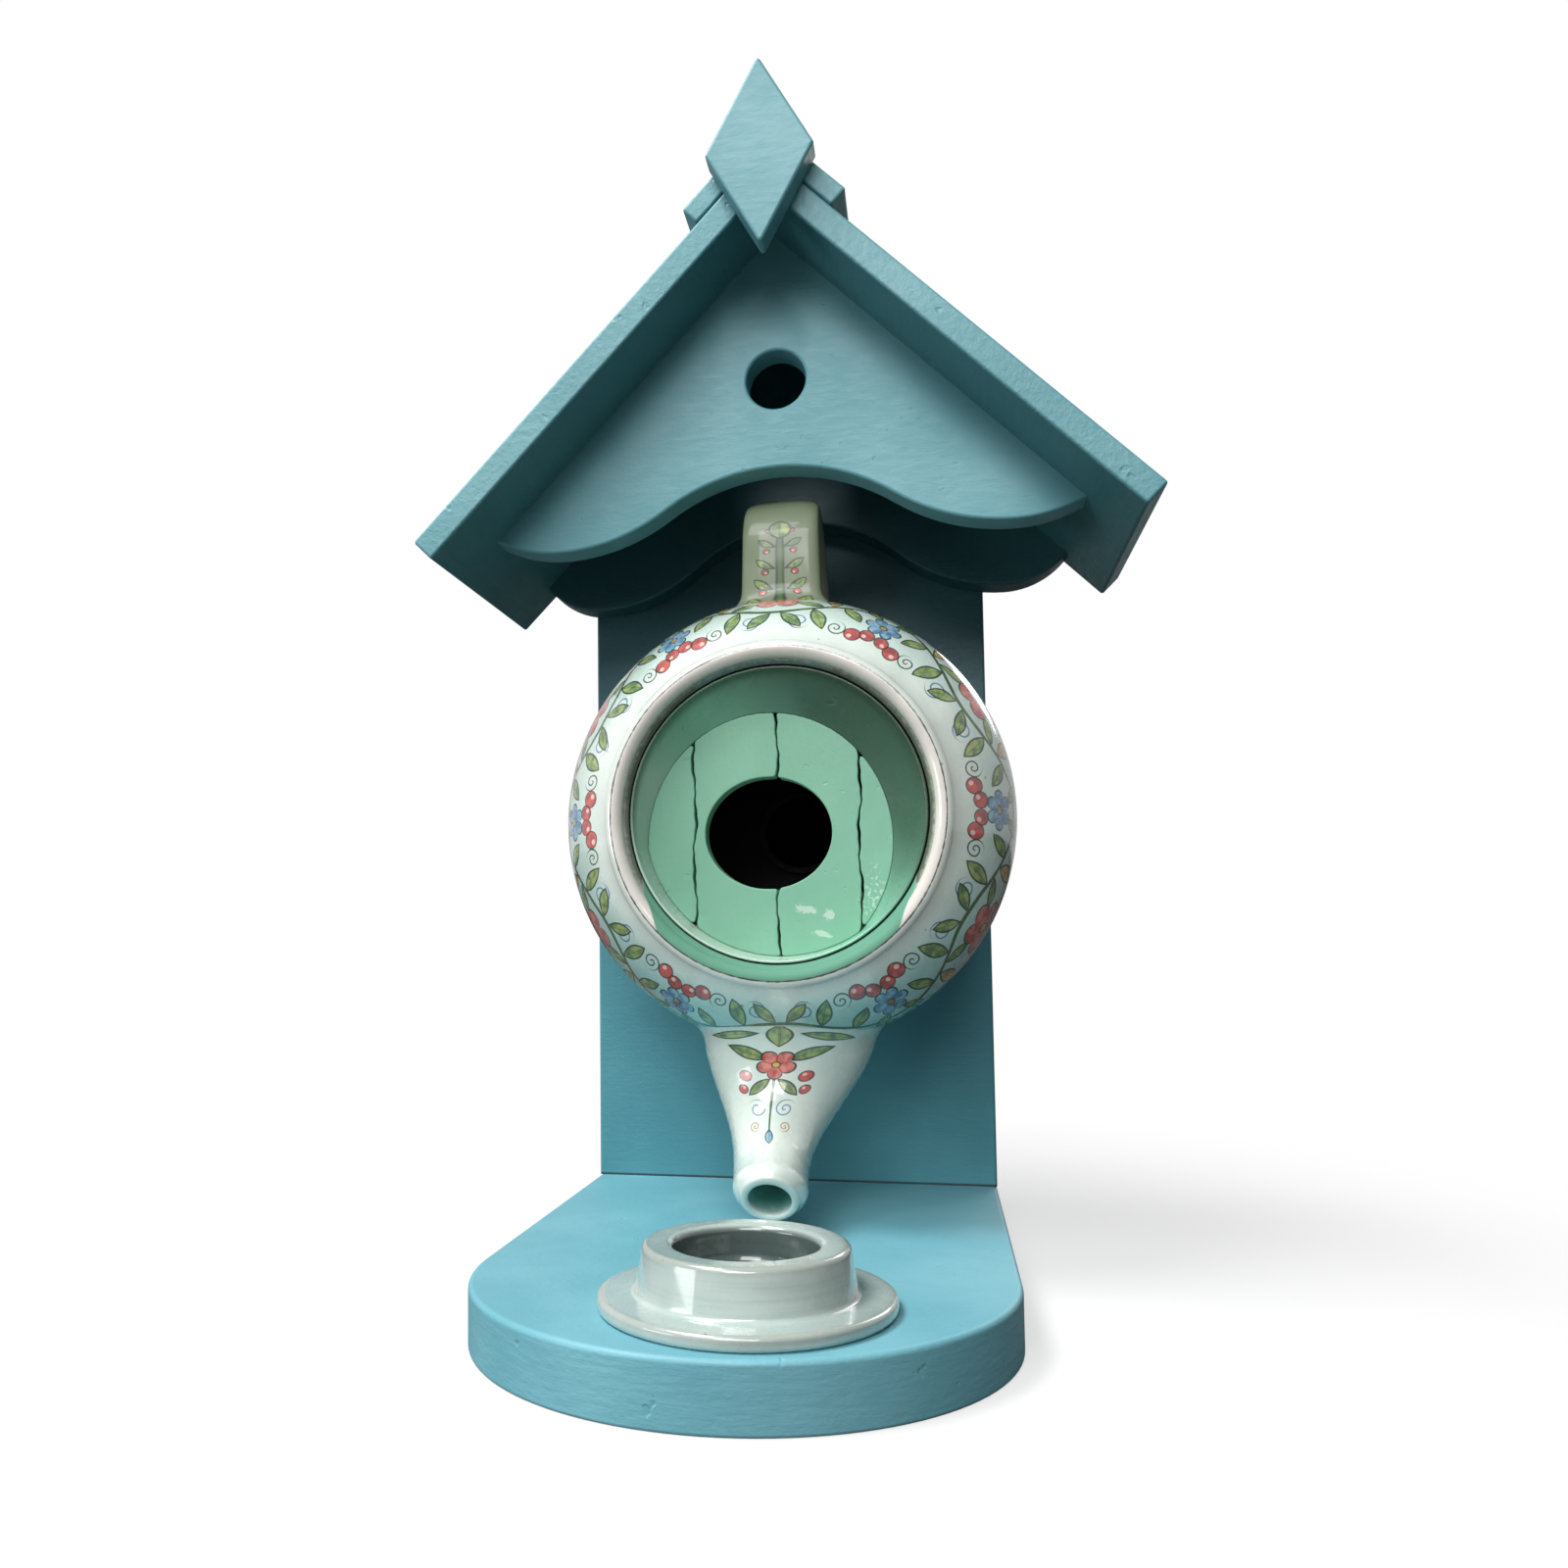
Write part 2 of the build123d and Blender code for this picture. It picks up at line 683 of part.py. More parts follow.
discs = (
    ("pot_pad", foot_inner - pad_gap, 0, foot_high),
    ("pot_grommet", grommet_radius, floor_front, grommet_thick),
    ("pot_washer", washer_radius, floor_front + grommet_thick, washer_thick),
)
for name, radius, start, thick in discs:
    with BuildPart() as disc:
        with BuildSketch(pot_face.offset(start)):
            Circle(radius)
            Circle(pot_screw_radius + pot_hole_gap, mode=Mode.SUBTRACT)
        extrude(amount=thick)
    disc.part.label = name
    export_step(disc.part, f"parts/{name}.step")

with BuildPart() as pot_screw:
    with BuildSketch(pot_plane):
        with BuildLine():
            Polyline(
                (0, screw_seat + pot_screw_head_high),
                (pot_screw_head_radius, screw_seat + pot_screw_head_high),
                (pot_screw_head_radius, screw_seat),
                (pot_screw_radius, screw_seat),
                (pot_screw_radius, pot_screw_tip + point_taper * pot_screw_radius),
                (0, pot_screw_tip),
                close=True,
            )
        make_face()
    revolve(axis=pot_axis)
    head_rim = pot_screw.edges().filter_by(GeomType.CIRCLE).group_by(Axis.Y)[0]
    fillet(head_rim, pot_screw_head_high / 3)
pot_screw.part.label = "pot_screw"
export_step(pot_screw.part, "parts/pot_screw.step")

# ---------------------------------------------------------------- entrance


def panel_outline(inset):
    """The panel's oval, cut by the round inner wall of the ring, less an inset all round."""
    with BuildSketch() as outline:
        with Locations((panel_x, panel_z)):
            Ellipse(panel_half_wide - inset, panel_half_high - inset)
        Circle(ring_radius - ring_wall - inset, mode=Mode.INTERSECT)
    return outline.sketch


with BuildPart() as funnel:
    with BuildSketch(pot_face.offset(panel_front)):
        with Locations((panel_x, panel_z)):
            Ellipse(panel_half_wide, panel_half_high)
    with BuildSketch(pot_face.offset(ring_front + funnel_past)):
        Circle(ring_radius - ring_wall)
    loft()
    with BuildSketch(pot_face.offset(panel_front)):
        Circle(ring_radius - ring_wall)
    extrude(amount=funnel_deep, mode=Mode.INTERSECT)

groove_radius = ring_radius - gasket_seat
groove_back = ring_front - gasket_behind - gasket_wide
pocket_outline = panel_outline(0)
step_outline = panel_outline(ring_step)
with BuildPart() as entrance_ring:
    with BuildSketch(pot_face.offset(ring_back)):
        Circle(ring_radius)
    extrude(amount=ring_front - ring_back)
    with BuildSketch(pot_face.offset(groove_back)):
        Circle(ring_radius)
        Circle(groove_radius, mode=Mode.SUBTRACT)
    extrude(amount=gasket_wide, mode=Mode.SUBTRACT)
    add(funnel.part, mode=Mode.SUBTRACT)
    with BuildSketch(pot_face.offset(panel_back)):
        add(pocket_outline)
    extrude(amount=plank_thick, mode=Mode.SUBTRACT)
    with BuildSketch(pot_face.offset(ring_back)):
        add(step_outline)
    extrude(amount=ring_shoulder, mode=Mode.SUBTRACT)
entrance_ring.part.label = "entrance_ring"
export_step(entrance_ring.part, "parts/entrance_ring.step")

with BuildPart() as entrance_gasket:
    with BuildSketch(pot_face.offset(groove_back)):
        Circle(mouth_radius - gasket_gap)
        Circle(groove_radius, mode=Mode.SUBTRACT)
    extrude(amount=gasket_wide)
entrance_gasket.part.label = "entrance_gasket"
export_step(entrance_gasket.part, "parts/entrance_gasket.step")


def plank_side(x, shift):
    """Side of a plank along one joint: an upright line with a slight wave."""
    reach = panel_half_high + plank_thick
    points = []
    for i in range(joint_points):
        z = reach * (2 * i / (joint_points - 1) - 1)
        sway = joint_wander * sin(2 * pi * z / joint_wave + x)
        points.append((panel_x + x + shift + sway, panel_z + z))
    return points


panel_side = panel_half_wide + plank_thick
joint_lines = (-panel_side, *plank_joints, panel_side)
plank_disc = panel_outline(panel_gap)
for number, (left, right) in enumerate(zip(joint_lines[:-1], joint_lines[1:]), start=1):
    left_side = plank_side(left, joint_gap / 2)
    right_side = plank_side(right, -joint_gap / 2)
    with BuildPart() as plank:
        with BuildSketch(pot_face.offset(panel_back)):
            add(plank_disc)
            with Locations((0, hole_z)):
                Ellipse(hole_half_wide, hole_half_high, mode=Mode.SUBTRACT)
            with BuildLine():
                Spline(*left_side)
                Spline(*right_side)
                Line(left_side[0], right_side[0])
                Line(left_side[-1], right_side[-1])
            make_face(mode=Mode.INTERSECT)
        extrude(amount=plank_thick)
    plank.part.label = f"plank_{number}"
    export_step(plank.part, f"parts/plank_{number}.step")

batten_outline = panel_outline(ring_step + batten_inset)
batten_offset = hole_half_high + batten_clear + batten_high / 2
for side, name in ((1, "top"), (-1, "bottom")):
    with BuildPart() as batten:
        with BuildSketch(pot_face.offset(panel_back - batten_thick)):
            add(batten_outline)
            with Locations((panel_x, hole_z + side * batten_offset)):
                Rectangle(2 * panel_half_wide, batten_high, mode=Mode.INTERSECT)
        extrude(amount=batten_thick)
    batten.part.label = f"batten_{name}"
    export_step(batten.part, f"parts/batten_{name}.step")

# ---------------------------------------------------------------- dish

flange_top = base_thick + flange_thick
rim_top = flange_top + collar_high
floor_top = base_thick + dish_floor
with BuildPart() as lid_dish:
    with BuildSketch(Plane.XZ.offset(-dish_y)):
        with BuildLine():
            Polyline(
                (0, floor_top),
                (dish_well_radius, floor_top),
                (dish_well_radius, rim_top),
                (collar_top_radius, rim_top),
                (collar_radius, flange_top),
                (flange_radius, flange_top),
                (flange_radius, base_thick),
                (knob_neck, base_thick),
                (knob_neck, base_thick - knob_neck_long),
                (knob_radius, base_thick - knob_neck_long),
                (knob_radius, base_thick - knob_long),
                (0, base_thick - knob_long),
                close=True,
            )
        make_face()
    revolve(axis=Axis((0, dish_y, 0), (0, 0, 1)))
    rings = lid_dish.edges().filter_by(GeomType.CIRCLE)
    fillet(rings.filter_by(lambda e: abs(e.radius - flange_radius) < near), flange_round)
    fillet(rings.filter_by(lambda e: abs(e.radius - collar_radius) < near), collar_foot_round)
    fillet(rings.filter_by(lambda e: abs(e.radius - collar_top_radius) < near), collar_round)
    well_rings = rings.filter_by(lambda e: abs(e.radius - dish_well_radius) < near)
    fillet(well_rings.sort_by(Axis.Z)[-1], dish_mouth_round)
    fillet(well_rings.sort_by(Axis.Z)[0], dish_well_round)
    fillet(rings.filter_by(lambda e: abs(e.radius - knob_radius) < near), knob_round)
lid_dish.part.label = "lid_dish"
export_step(lid_dish.part, "parts/lid_dish.step")
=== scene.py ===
# %% [markdown]
# # Teapot birdhouse
# A glazed teapot lies on its back under a small pitched roof, and a green plank door with a
# round hole sits in its mouth. The boards, screws and other small pieces come ready made from
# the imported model, and only get a finish. The glazed pieces, the planks and their ring are made
# again here as smooth surfaces, because a glaze shows every facet in its reflections.
#
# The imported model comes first: everything else is placed from it.

import math

import bmesh
import bpy
import numpy as np
from mathutils import Matrix, Vector


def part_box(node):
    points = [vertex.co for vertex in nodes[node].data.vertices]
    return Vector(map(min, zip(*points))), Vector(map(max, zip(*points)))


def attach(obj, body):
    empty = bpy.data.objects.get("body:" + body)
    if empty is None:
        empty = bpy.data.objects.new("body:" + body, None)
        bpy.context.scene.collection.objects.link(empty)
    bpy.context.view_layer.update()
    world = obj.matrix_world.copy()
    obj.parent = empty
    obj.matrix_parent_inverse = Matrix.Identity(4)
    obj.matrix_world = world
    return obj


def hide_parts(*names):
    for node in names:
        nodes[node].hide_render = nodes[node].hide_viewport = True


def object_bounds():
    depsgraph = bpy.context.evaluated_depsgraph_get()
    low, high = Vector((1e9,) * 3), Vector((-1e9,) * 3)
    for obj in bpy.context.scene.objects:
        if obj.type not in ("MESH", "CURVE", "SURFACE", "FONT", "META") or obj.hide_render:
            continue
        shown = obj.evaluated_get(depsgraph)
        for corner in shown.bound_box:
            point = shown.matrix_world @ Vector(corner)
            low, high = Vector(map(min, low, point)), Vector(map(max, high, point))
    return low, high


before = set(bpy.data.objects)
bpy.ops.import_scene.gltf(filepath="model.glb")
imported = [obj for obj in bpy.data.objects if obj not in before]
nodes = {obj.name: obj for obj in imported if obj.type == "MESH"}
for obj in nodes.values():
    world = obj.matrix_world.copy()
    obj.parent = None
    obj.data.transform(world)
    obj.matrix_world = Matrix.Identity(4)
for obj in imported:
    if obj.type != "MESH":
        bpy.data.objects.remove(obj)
cad_low, cad_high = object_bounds()
mm = 0.001
print("CAD box", [round(v / mm, 1) for v in (*cad_low, *cad_high)], "mm")

# %% [markdown]
# ## The camera
# It stands low in front, a little to the right, and looks up and to the left. A short lens
# close by gives the roof its strong perspective. The view is shifted in the camera instead of
# turned, so that upright lines keep their slant.


# %% Camera
def put(name, data):
    """Adds an object with this data to the scene."""
    made = bpy.data.objects.new(name, data)
    bpy.context.scene.collection.objects.link(made)
    return made


LENS = 28.8
CAMERA_PLACE = Vector((37.5, -384.3, 87.0)) * mm
CAMERA_YAW = 0.2139
CAMERA_PITCH = 0.0603
CAMERA_ROLL = -0.0086
CAMERA_SHIFT = (0.0809, 0.0499)

ahead = Vector((
    -math.sin(CAMERA_YAW) * math.cos(CAMERA_PITCH),
    math.cos(CAMERA_YAW) * math.cos(CAMERA_PITCH),
    math.sin(CAMERA_PITCH),
))
level = Vector((math.cos(CAMERA_YAW), math.sin(CAMERA_YAW), 0))
upward = level.cross(ahead)
right = level * math.cos(CAMERA_ROLL) + upward * math.sin(CAMERA_ROLL)
upward = right.cross(ahead)
camera_data = bpy.data.cameras.new("camera")
camera_data.lens = LENS
camera_data.shift_x, camera_data.shift_y = CAMERA_SHIFT
camera_data.clip_start = 0.01
camera = put("camera", camera_data)
turned = Matrix((right, upward, -ahead)).transposed()
camera.matrix_world = Matrix.Translation(CAMERA_PLACE) @ turned.to_4x4()
bpy.context.scene.camera = camera
print("camera", [round(v / mm) for v in CAMERA_PLACE], "mm, lens", LENS)

# %% [markdown]
# ## Lamps
# The light is that of a room with a skylight: the strongest lamp hangs high on the left, a broad
# one a little lower on the front left, and a third in front of the house. A low window on the
# left gives little light, but it draws the upright bar on the dish and the spout. One weak lamp
# behind shows the back. Each lamp is a rectangle, given by its place, its two sides and its
# power, and is aimed at the middle of the house.

# %% Lamps
LAMPS = {
    "skylight": ((-0.61, -0.35, 1.36), (0.5, 0.5), 17.0),
    "key": ((-0.42, -0.92, 1.1), (0.8, 0.6), 8.2),
    "front": ((0.0, -1.22, 0.8), (0.7, 0.5), 8.6),
    "window": ((-1.03, -0.75, 0.18), (0.55, 0.32), 3.2),
    "behind": ((0.55, 1.15, 0.9), (0.6, 0.6), 4.0),
}
aim = (cad_low + cad_high) / 2


def lamp(name, place, size, power):
    """Adds a rectangular lamp that faces the middle of the house."""
    data = bpy.data.lights.new(name, "AREA")
    data.shape = "RECTANGLE"
    data.size, data.size_y = size
    data.energy = power
    made = put(name, data)
    made.location = place
    made.rotation_euler = (aim - Vector(place)).to_track_quat("-Z", "Y").to_euler()
    print(name, power, "W, sides of", size, "m")


for name, settings in LAMPS.items():
    lamp(name, *settings)
bpy.context.scene.view_settings.view_transform = "Standard"

# %% [markdown]
# ## Writing materials as sums
# A pattern such as a leaf is a short piece of arithmetic. The class below wraps one socket of
# a material, so that Python sums on it add Math nodes, and any other node comes from one
# method that takes its type, its sockets and its settings.


# %% A socket that can be calculated with
def operator(operation, swapped=False):
    """A method that adds a Math node of its socket and another value, swapped if need be."""

    def method(self, *others):
        values = (self, *others)
        return self.sheet.sum(operation, *(values[::-1] if swapped else values))

    return method


class Wire:
    """One output socket. Sums on it add Math nodes to its sheet of nodes."""

    def __init__(self, sheet, socket):
        self.sheet = sheet
        self.socket = socket

    __add__ = __radd__ = operator("ADD")
    __sub__ = operator("SUBTRACT")
    __rsub__ = operator("SUBTRACT", swapped=True)
    __mul__ = __rmul__ = operator("MULTIPLY")
    __truediv__ = operator("DIVIDE")
    __rtruediv__ = operator("DIVIDE", swapped=True)
    __pow__ = operator("POWER")
    __abs__ = operator("ABSOLUTE")
    low = operator("MINIMUM")
    high = operator("MAXIMUM")


class Sheet:
    """The nodes of one material or of the world."""

    def __init__(self, tree):
        self.tree = tree
        tree.nodes.clear()

    def node(self, kind, sockets=None, out=0, **settings):
        """Adds a node: its settings first, then the values or links of its sockets."""
        made = self.tree.nodes.new(kind)
        for name, value in settings.items():
            setattr(made, name, value)
        for name, value in (sockets or {}).items():
            if isinstance(value, Wire):
                self.tree.links.new(value.socket, made.inputs[name])
            else:
                made.inputs[name].default_value = value
        return Wire(self, made.outputs[out]) if made.outputs else None

    def sum(self, operation, *values):
        return self.node("ShaderNodeMath", dict(enumerate(values)), operation=operation)

    def split(self, vector):
        """The three numbers of a vector."""
        first = self.node("ShaderNodeSeparateXYZ", {0: vector})
        return [Wire(self, socket) for socket in first.socket.node.outputs]

    def reach(self, x, y):
        """Distance from the origin of a plane: the root of x squared plus y squared."""
        return (x * x + y * y) ** 0.5

    def fade(self, value, start, end, low=0.0, high=1.0):
        """low where value is start, high where it is end, smooth in between and level beyond."""
        ends = {"From Min": start, "From Max": end, "To Min": low, "To Max": high}
        sockets = {"Value": value, **ends}
        return self.node("ShaderNodeMapRange", sockets, interpolation_type="SMOOTHSTEP")

    def mix(self, share, under, over):
        """The colour under, turning to the colour over as share goes from 0 to 1.

        A colour is a wire, or red, green and blue from 0 to 255 as on a screen.
        """
        under, over = (c if isinstance(c, Wire) else tint(*c) for c in (under, over))
        return self.node("ShaderNodeMix", {0: share, 6: under, 7: over}, out=2, data_type="RGBA")

    def noise(self, vector, grain, detail=2.0, roughness=0.5):
        """Cloudy noise whose patches are about one grain, in metres, across."""
        sockets = {"Vector": vector, "Scale": 1 / grain, "Detail": detail, "Roughness": roughness}
        return self.node("ShaderNodeTexNoise", sockets, out="Fac")

    def stretch(self, vector, scale=(1, 1, 1), turn=(0, 0, 0), place=(0, 0, 0)):
        """The coordinates of something that was scaled, turned and put at a place."""
        sockets = {"Vector": vector, "Scale": scale, "Rotation": turn, "Location": place}
        return self.node("ShaderNodeMapping", sockets, vector_type="TEXTURE")

    def bump(self, height, depth, under=None):
        """Normals of a surface raised by height times depth, in metres."""
        sockets = {"Height": height, "Distance": depth, "Strength": 1.0}
        if under:
            sockets["Normal"] = under
        return self.node("ShaderNodeBump", sockets)


def tint(red, green, blue):
    """A screen colour, 0 to 255 in each channel, as the linear colour that nodes hold."""
    share = np.array([red, green, blue]) / 255
    linear = np.where(share > 0.04045, ((share + 0.055) / 1.055) ** 2.4, share / 12.92)
    return (*linear.tolist(), 1.0)


def finish(name):
    """A new material, its empty sheet of nodes, and the place in the piece's coordinates."""
    material = bpy.data.materials.new(name)
    material.use_nodes = True
    sheet = Sheet(material.node_tree)
    return material, sheet, sheet.node("ShaderNodeTexCoord", out="Object")


def surface_of(sheet, sockets):
    """Ends a sheet in one Principled shader."""
    shader = sheet.node("ShaderNodeBsdfPrincipled", sockets)
    sheet.node("ShaderNodeOutputMaterial", {"Surface": shader})


print("teal as a node colour", [round(v, 3) for v in tint(119, 174, 182)])

# %% [markdown]
# ## Floor and backdrop
# The house stands on a pale floor in a white room. The floor is a dark grey that returns little
# light to the house. To the camera alone it is pale, takes the shadow, and is mixed with plain
# white. Further out it is all white, so that no horizon shows. Mirrors see a dimmer room.

# %% Floor and world
FLOOR_SIDE = 6.0
FLOOR_GREY = 0.12
FLOOR_PALE = 0.86
FLOOR_FADE = (0.1, 0.27)
WHITE_NEAR = 0.6
WORLD_LIGHT = 0.04
MIRRORED_ROOM = 0.55
WHITE = (1.0, 1.0, 1.0, 1.0)
edge = FLOOR_SIDE / 2
floor_mesh = bpy.data.meshes.new("floor")
floor_mesh.from_pydata(
    [(-edge, -edge, 0), (edge, -edge, 0), (edge, edge, 0), (-edge, edge, 0)], [], [(0, 1, 2, 3)]
)
floor = put("floor", floor_mesh)

floor_material, sheet, place = finish("floor")
across, deep, _ = sheet.split(place)
distance = sheet.reach(across, deep)
seen = sheet.node("ShaderNodeLightPath", out="Is Camera Ray")
shade = seen * (FLOOR_PALE - FLOOR_GREY) + FLOOR_GREY
grey = sheet.node("ShaderNodeBsdfDiffuse", {"Color": shade})
white = sheet.node("ShaderNodeEmission", {"Color": WHITE, "Strength": 1.0})
share = seen * sheet.fade(distance, *FLOOR_FADE, WHITE_NEAR, 1.0)
mixed = sheet.node("ShaderNodeMixShader", {0: share, 1: grey, 2: white})
sheet.node("ShaderNodeOutputMaterial", {"Surface": mixed})
floor_mesh.materials.append(floor_material)

world = bpy.data.worlds.new("room")
world.use_nodes = True
bpy.context.scene.world = world
sheet = Sheet(world.node_tree)
seen, mirrored, through = (
    sheet.node("ShaderNodeLightPath", out=f"Is {kind} Ray")
    for kind in ("Camera", "Glossy", "Transmission")
)
share = (seen + mirrored * MIRRORED_ROOM + through).low(1)
strength = share * (1 - WORLD_LIGHT) + WORLD_LIGHT
room = sheet.node("ShaderNodeBackground", {"Color": WHITE, "Strength": strength})
sheet.node("ShaderNodeOutputWorld", {"Surface": room})
print("floor", FLOOR_SIDE, "m, world light", WORLD_LIGHT)

# %% [markdown]
# ## Painted wood
# The wood is cut from board, sanded by hand and brushed with two coats of satin paint. Such a
# paint is never one colour: it clouds a little over a hand's width, and the brush leaves fine
# ridges along its stroke and a faint orange peel. The pattern is worked out in the coordinates
# of the piece, which at rest are those of the room, so it moves along with the piece. Each board
# says which way its strokes run. A paint has its colour, a lighter and a darker one.


# %% Paint
def painted(name, colour, lighter, darker, gloss, stroke, grain=1.0, over=None):
    """A brushed satin paint. stroke is largest along the brush, and over adds what lies on it."""
    material, sheet, place = finish(name)
    cloud = sheet.noise(place, 38 * mm, 3.0)
    drawn = sheet.stretch(place, tuple(3.5 * mm * s for s in stroke))
    ridges = sheet.noise(drawn, 1.0, 3.0, 0.6)
    peel = sheet.noise(place, 1.1 * mm * grain, 3.0, 0.65)
    pores = sheet.noise(place, 2.4 * mm * grain, 2.0, 0.5)
    pits = sheet.fade(pores, 0.30, 0.22)
    tone = sheet.mix(sheet.fade(cloud, 0.35, 0.68), darker, lighter)
    tone = sheet.mix(0.55, tone, colour)
    tone = sheet.mix(sheet.fade(ridges, 0.62, 0.82, 0.0, 0.16), tone, lighter)
    tone = sheet.mix(pits * 0.22, tone, darker)
    if over:
        tone = over(sheet, place, tone)
    height = ridges * 0.55 + peel * 0.35 - pits * 0.5
    rough = sheet.fade(ridges + cloud * 0.5, 0.5, 1.1, gloss + 0.07, gloss - 0.05)
    normal = sheet.bump(height, 0.16 * mm * grain)
    sockets = {"Base Color": tone, "Roughness": rough, "Normal": normal}
    surface_of(sheet, {**sockets, "Specular IOR Level": 0.6})
    return material


def wear(material, *pieces):
    """Gives pieces one material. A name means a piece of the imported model."""
    for piece in pieces:
        mesh = (nodes[piece] if isinstance(piece, str) else piece).data
        mesh.materials.clear()
        mesh.materials.append(material)


print("painted() makes a paint, wear() puts it on")

# %% [markdown]
# ## Teal boards
# The teal comes in copies for light and shade. The base has a lighter copy, painted light for its
# top that faces the lamps. The roof, its caps and the finial have a darker copy, painted shade,
# and the roof's underside is painted darker still, painted shade. The boards at the back have the
# darkest copy, with painted shade that deepens towards the eaves and a painted shadow line at the
# foot.

# %% Teal boards
TEAL = ((97, 160, 168), (114, 172, 180), (82, 147, 157))
# A darker copy of the teal for the boards at the back: painted shade.
SHADED_TEAL = ((70, 138, 150), (82, 150, 162), (60, 126, 138))
# A lighter copy of the teal for the base: painted light.
LIT_TEAL = ((108, 171, 184), (126, 185, 198), (92, 158, 172))
# A darker copy of the teal for the roof, its caps and the finial: painted shade.
SHADED_ROOF_TEAL = ((90, 148, 155), (106, 160, 167), (76, 136, 146))
LEVEL = {"gloss": 0.48, "stroke": (1.4, 1.4, 0.35)}
teal_gable = painted("teal_paint_flat", *TEAL, **LEVEL)
# The finial wears the darker copy: painted shade.
teal_finial = painted("teal_paint_finial", *SHADED_ROOF_TEAL, **LEVEL)
# The base wears the lighter copy: painted light.
teal_base = painted("teal_paint_base", *LIT_TEAL, gloss=0.5, stroke=(2.6, 2.6, 0.5), grain=1.5)
base_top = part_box("base_board")[1].z
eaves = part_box("rear_gable")[0].z


def eaves_painted_shade(sheet, place, tone):
    """Painted shade from 50 mm above the base up to the eaves, and a painted shadow line at the
    foot.
    """
    z = sheet.split(place)[2]
    # Painted shade that deepens towards the eaves.
    tone = sheet.mix(sheet.fade(z, base_top + 50 * mm, eaves, 0, 0.8), tone, (22, 70, 77))
    # A painted shadow line where the board stands on the base.
    foot = sheet.fade(z, base_top + 0.9 * mm, base_top + 0.4 * mm, 0, 0.9)
    return sheet.mix(foot, tone, (8, 30, 34))


FACES_DOWN = -0.3


def roof_paint(node):
    """Roof paint with painted shade on its underside: darker where (point - a point of the
    underside) . its normal nears 0.
    """
    facing_down = [face for face in nodes[node].data.polygons if face.normal.z < FACES_DOWN]
    underside = max(facing_down, key=lambda face: face.area)
    centre, normal = underside.center.copy(), underside.normal.copy()

    def shaded(sheet, place, tone):
        x, _, z = sheet.split(place)
        out = (x - centre.x) * normal.x + (z - centre.z) * normal.z
        # Painted shade on the underside of the roof.
        return sheet.mix(sheet.fade(out, -1.2 * mm, -0.1 * mm, 0, 0.7), tone, (44, 104, 112))

    return painted(
        f"teal_paint_{node}", *SHADED_ROOF_TEAL, gloss=0.5, stroke=(0.5, 3.2, 0.5), grain=2.0, over=shaded
    )


# The boards at the back wear the darker copy, with painted shade over it.
teal_back = painted("teal_paint_back", *SHADED_TEAL, **LEVEL, over=eaves_painted_shade)
wear(teal_gable, "front_gable")
wear(teal_finial, "finial")
wear(teal_back, "rear_gable", "back_board")
wear(teal_base, "base_board")
for node in ("roof_left", "roof_right", "ridge_cap_left", "ridge_cap_right"):
    wear(roof_paint(node), node)
print("eaves", round(eaves / mm, 1), "mm up")

# %% [markdown]
# ## Metal, rubber, felt and bare wood
# The small parts hardly show, but they turn up when the entrance is pulled out or the house is
# looked at from behind. Zinc has a cloudy grey bloom with fine drawn scratches, rubber is matt
# with a dusty bloom, felt is a tangle of short fibres, and the dowel shows long birch grain. The
# screw and washer inside the pot are painted near black, painted shade, so that nothing glints
# through the hole.


# %% Small parts
def zinc():
    """Grey bloom and fine scratches along the height."""
    material, sheet, place = finish("zinc")
    bloom = sheet.noise(place, 4 * mm, 4.0, 0.6)
    scratch = sheet.noise(sheet.stretch(place, (0.2 * mm, 0.2 * mm, 6 * mm)), 1.0, 2.0)
    tone = sheet.mix(bloom, (150, 153, 158), (205, 207, 210))
    rough = sheet.fade(bloom + scratch * 0.4, 0.3, 1.0, 0.26, 0.46)
    sockets = {"Base Color": tone, "Roughness": rough, "Normal": sheet.bump(scratch, 0.03 * mm)}
    surface_of(sheet, {**sockets, "Metallic": 0.95})
    return material


def matt(name, dark, light, grain, depth, rough, shine=0.5):
    """A dull material with a grain, whose three sizes and depth are in millimetres."""
    material, sheet, place = finish(name)
    fibre = sheet.noise(sheet.stretch(place, tuple(g * mm for g in grain)), 1.0, 4.0, 0.65)
    tone = sheet.mix(sheet.fade(fibre, 0.3, 0.7), dark, light)
    sockets = {"Base Color": tone, "Normal": sheet.bump(fibre, depth * mm)}
    surface_of(sheet, {**sockets, "Roughness": rough, "Specular IOR Level": shine})
    return material


rubber = matt("rubber", (22, 22, 23), (44, 43, 42), (0.8, 0.8, 0.8), 0.08, 0.72)
felt = matt("felt", (74, 74, 72), (116, 115, 111), (0.3, 0.9, 0.3), 0.3, 0.95)
# Painted shade: near black, so the screw and washer vanish in the dark of the nest chamber.
shade_black = matt("shade_black_steel", (5, 5, 6), (11, 11, 12), (1, 1, 1), 0.02, 0.8, shine=0.05)
birch = matt("birch", (168, 128, 84), (205, 172, 126), (0.4, 9, 0.4), 0.05, 0.6)
wear(zinc(), "base_screws", "gable_screws", "roof_brads", "hanger_plate", "hanger_screws")
wear(rubber, "pot_grommet", "entrance_gasket")
wear(felt, "pot_pad")
wear(shade_black, "pot_screw", "pot_washer")
wear(birch, "finial_dowel")
print("finishes so far:", len(bpy.data.materials))

# %% [markdown]
# ## Surfaces from grids
# Each new piece is a grid of points with two directions, around and along. skin joins
# neighbours into faces, closes the seam, merges the points at a pole and turns the faces
# outwards. A flat chart of the same grid can go with it, for patterns that follow the surface.


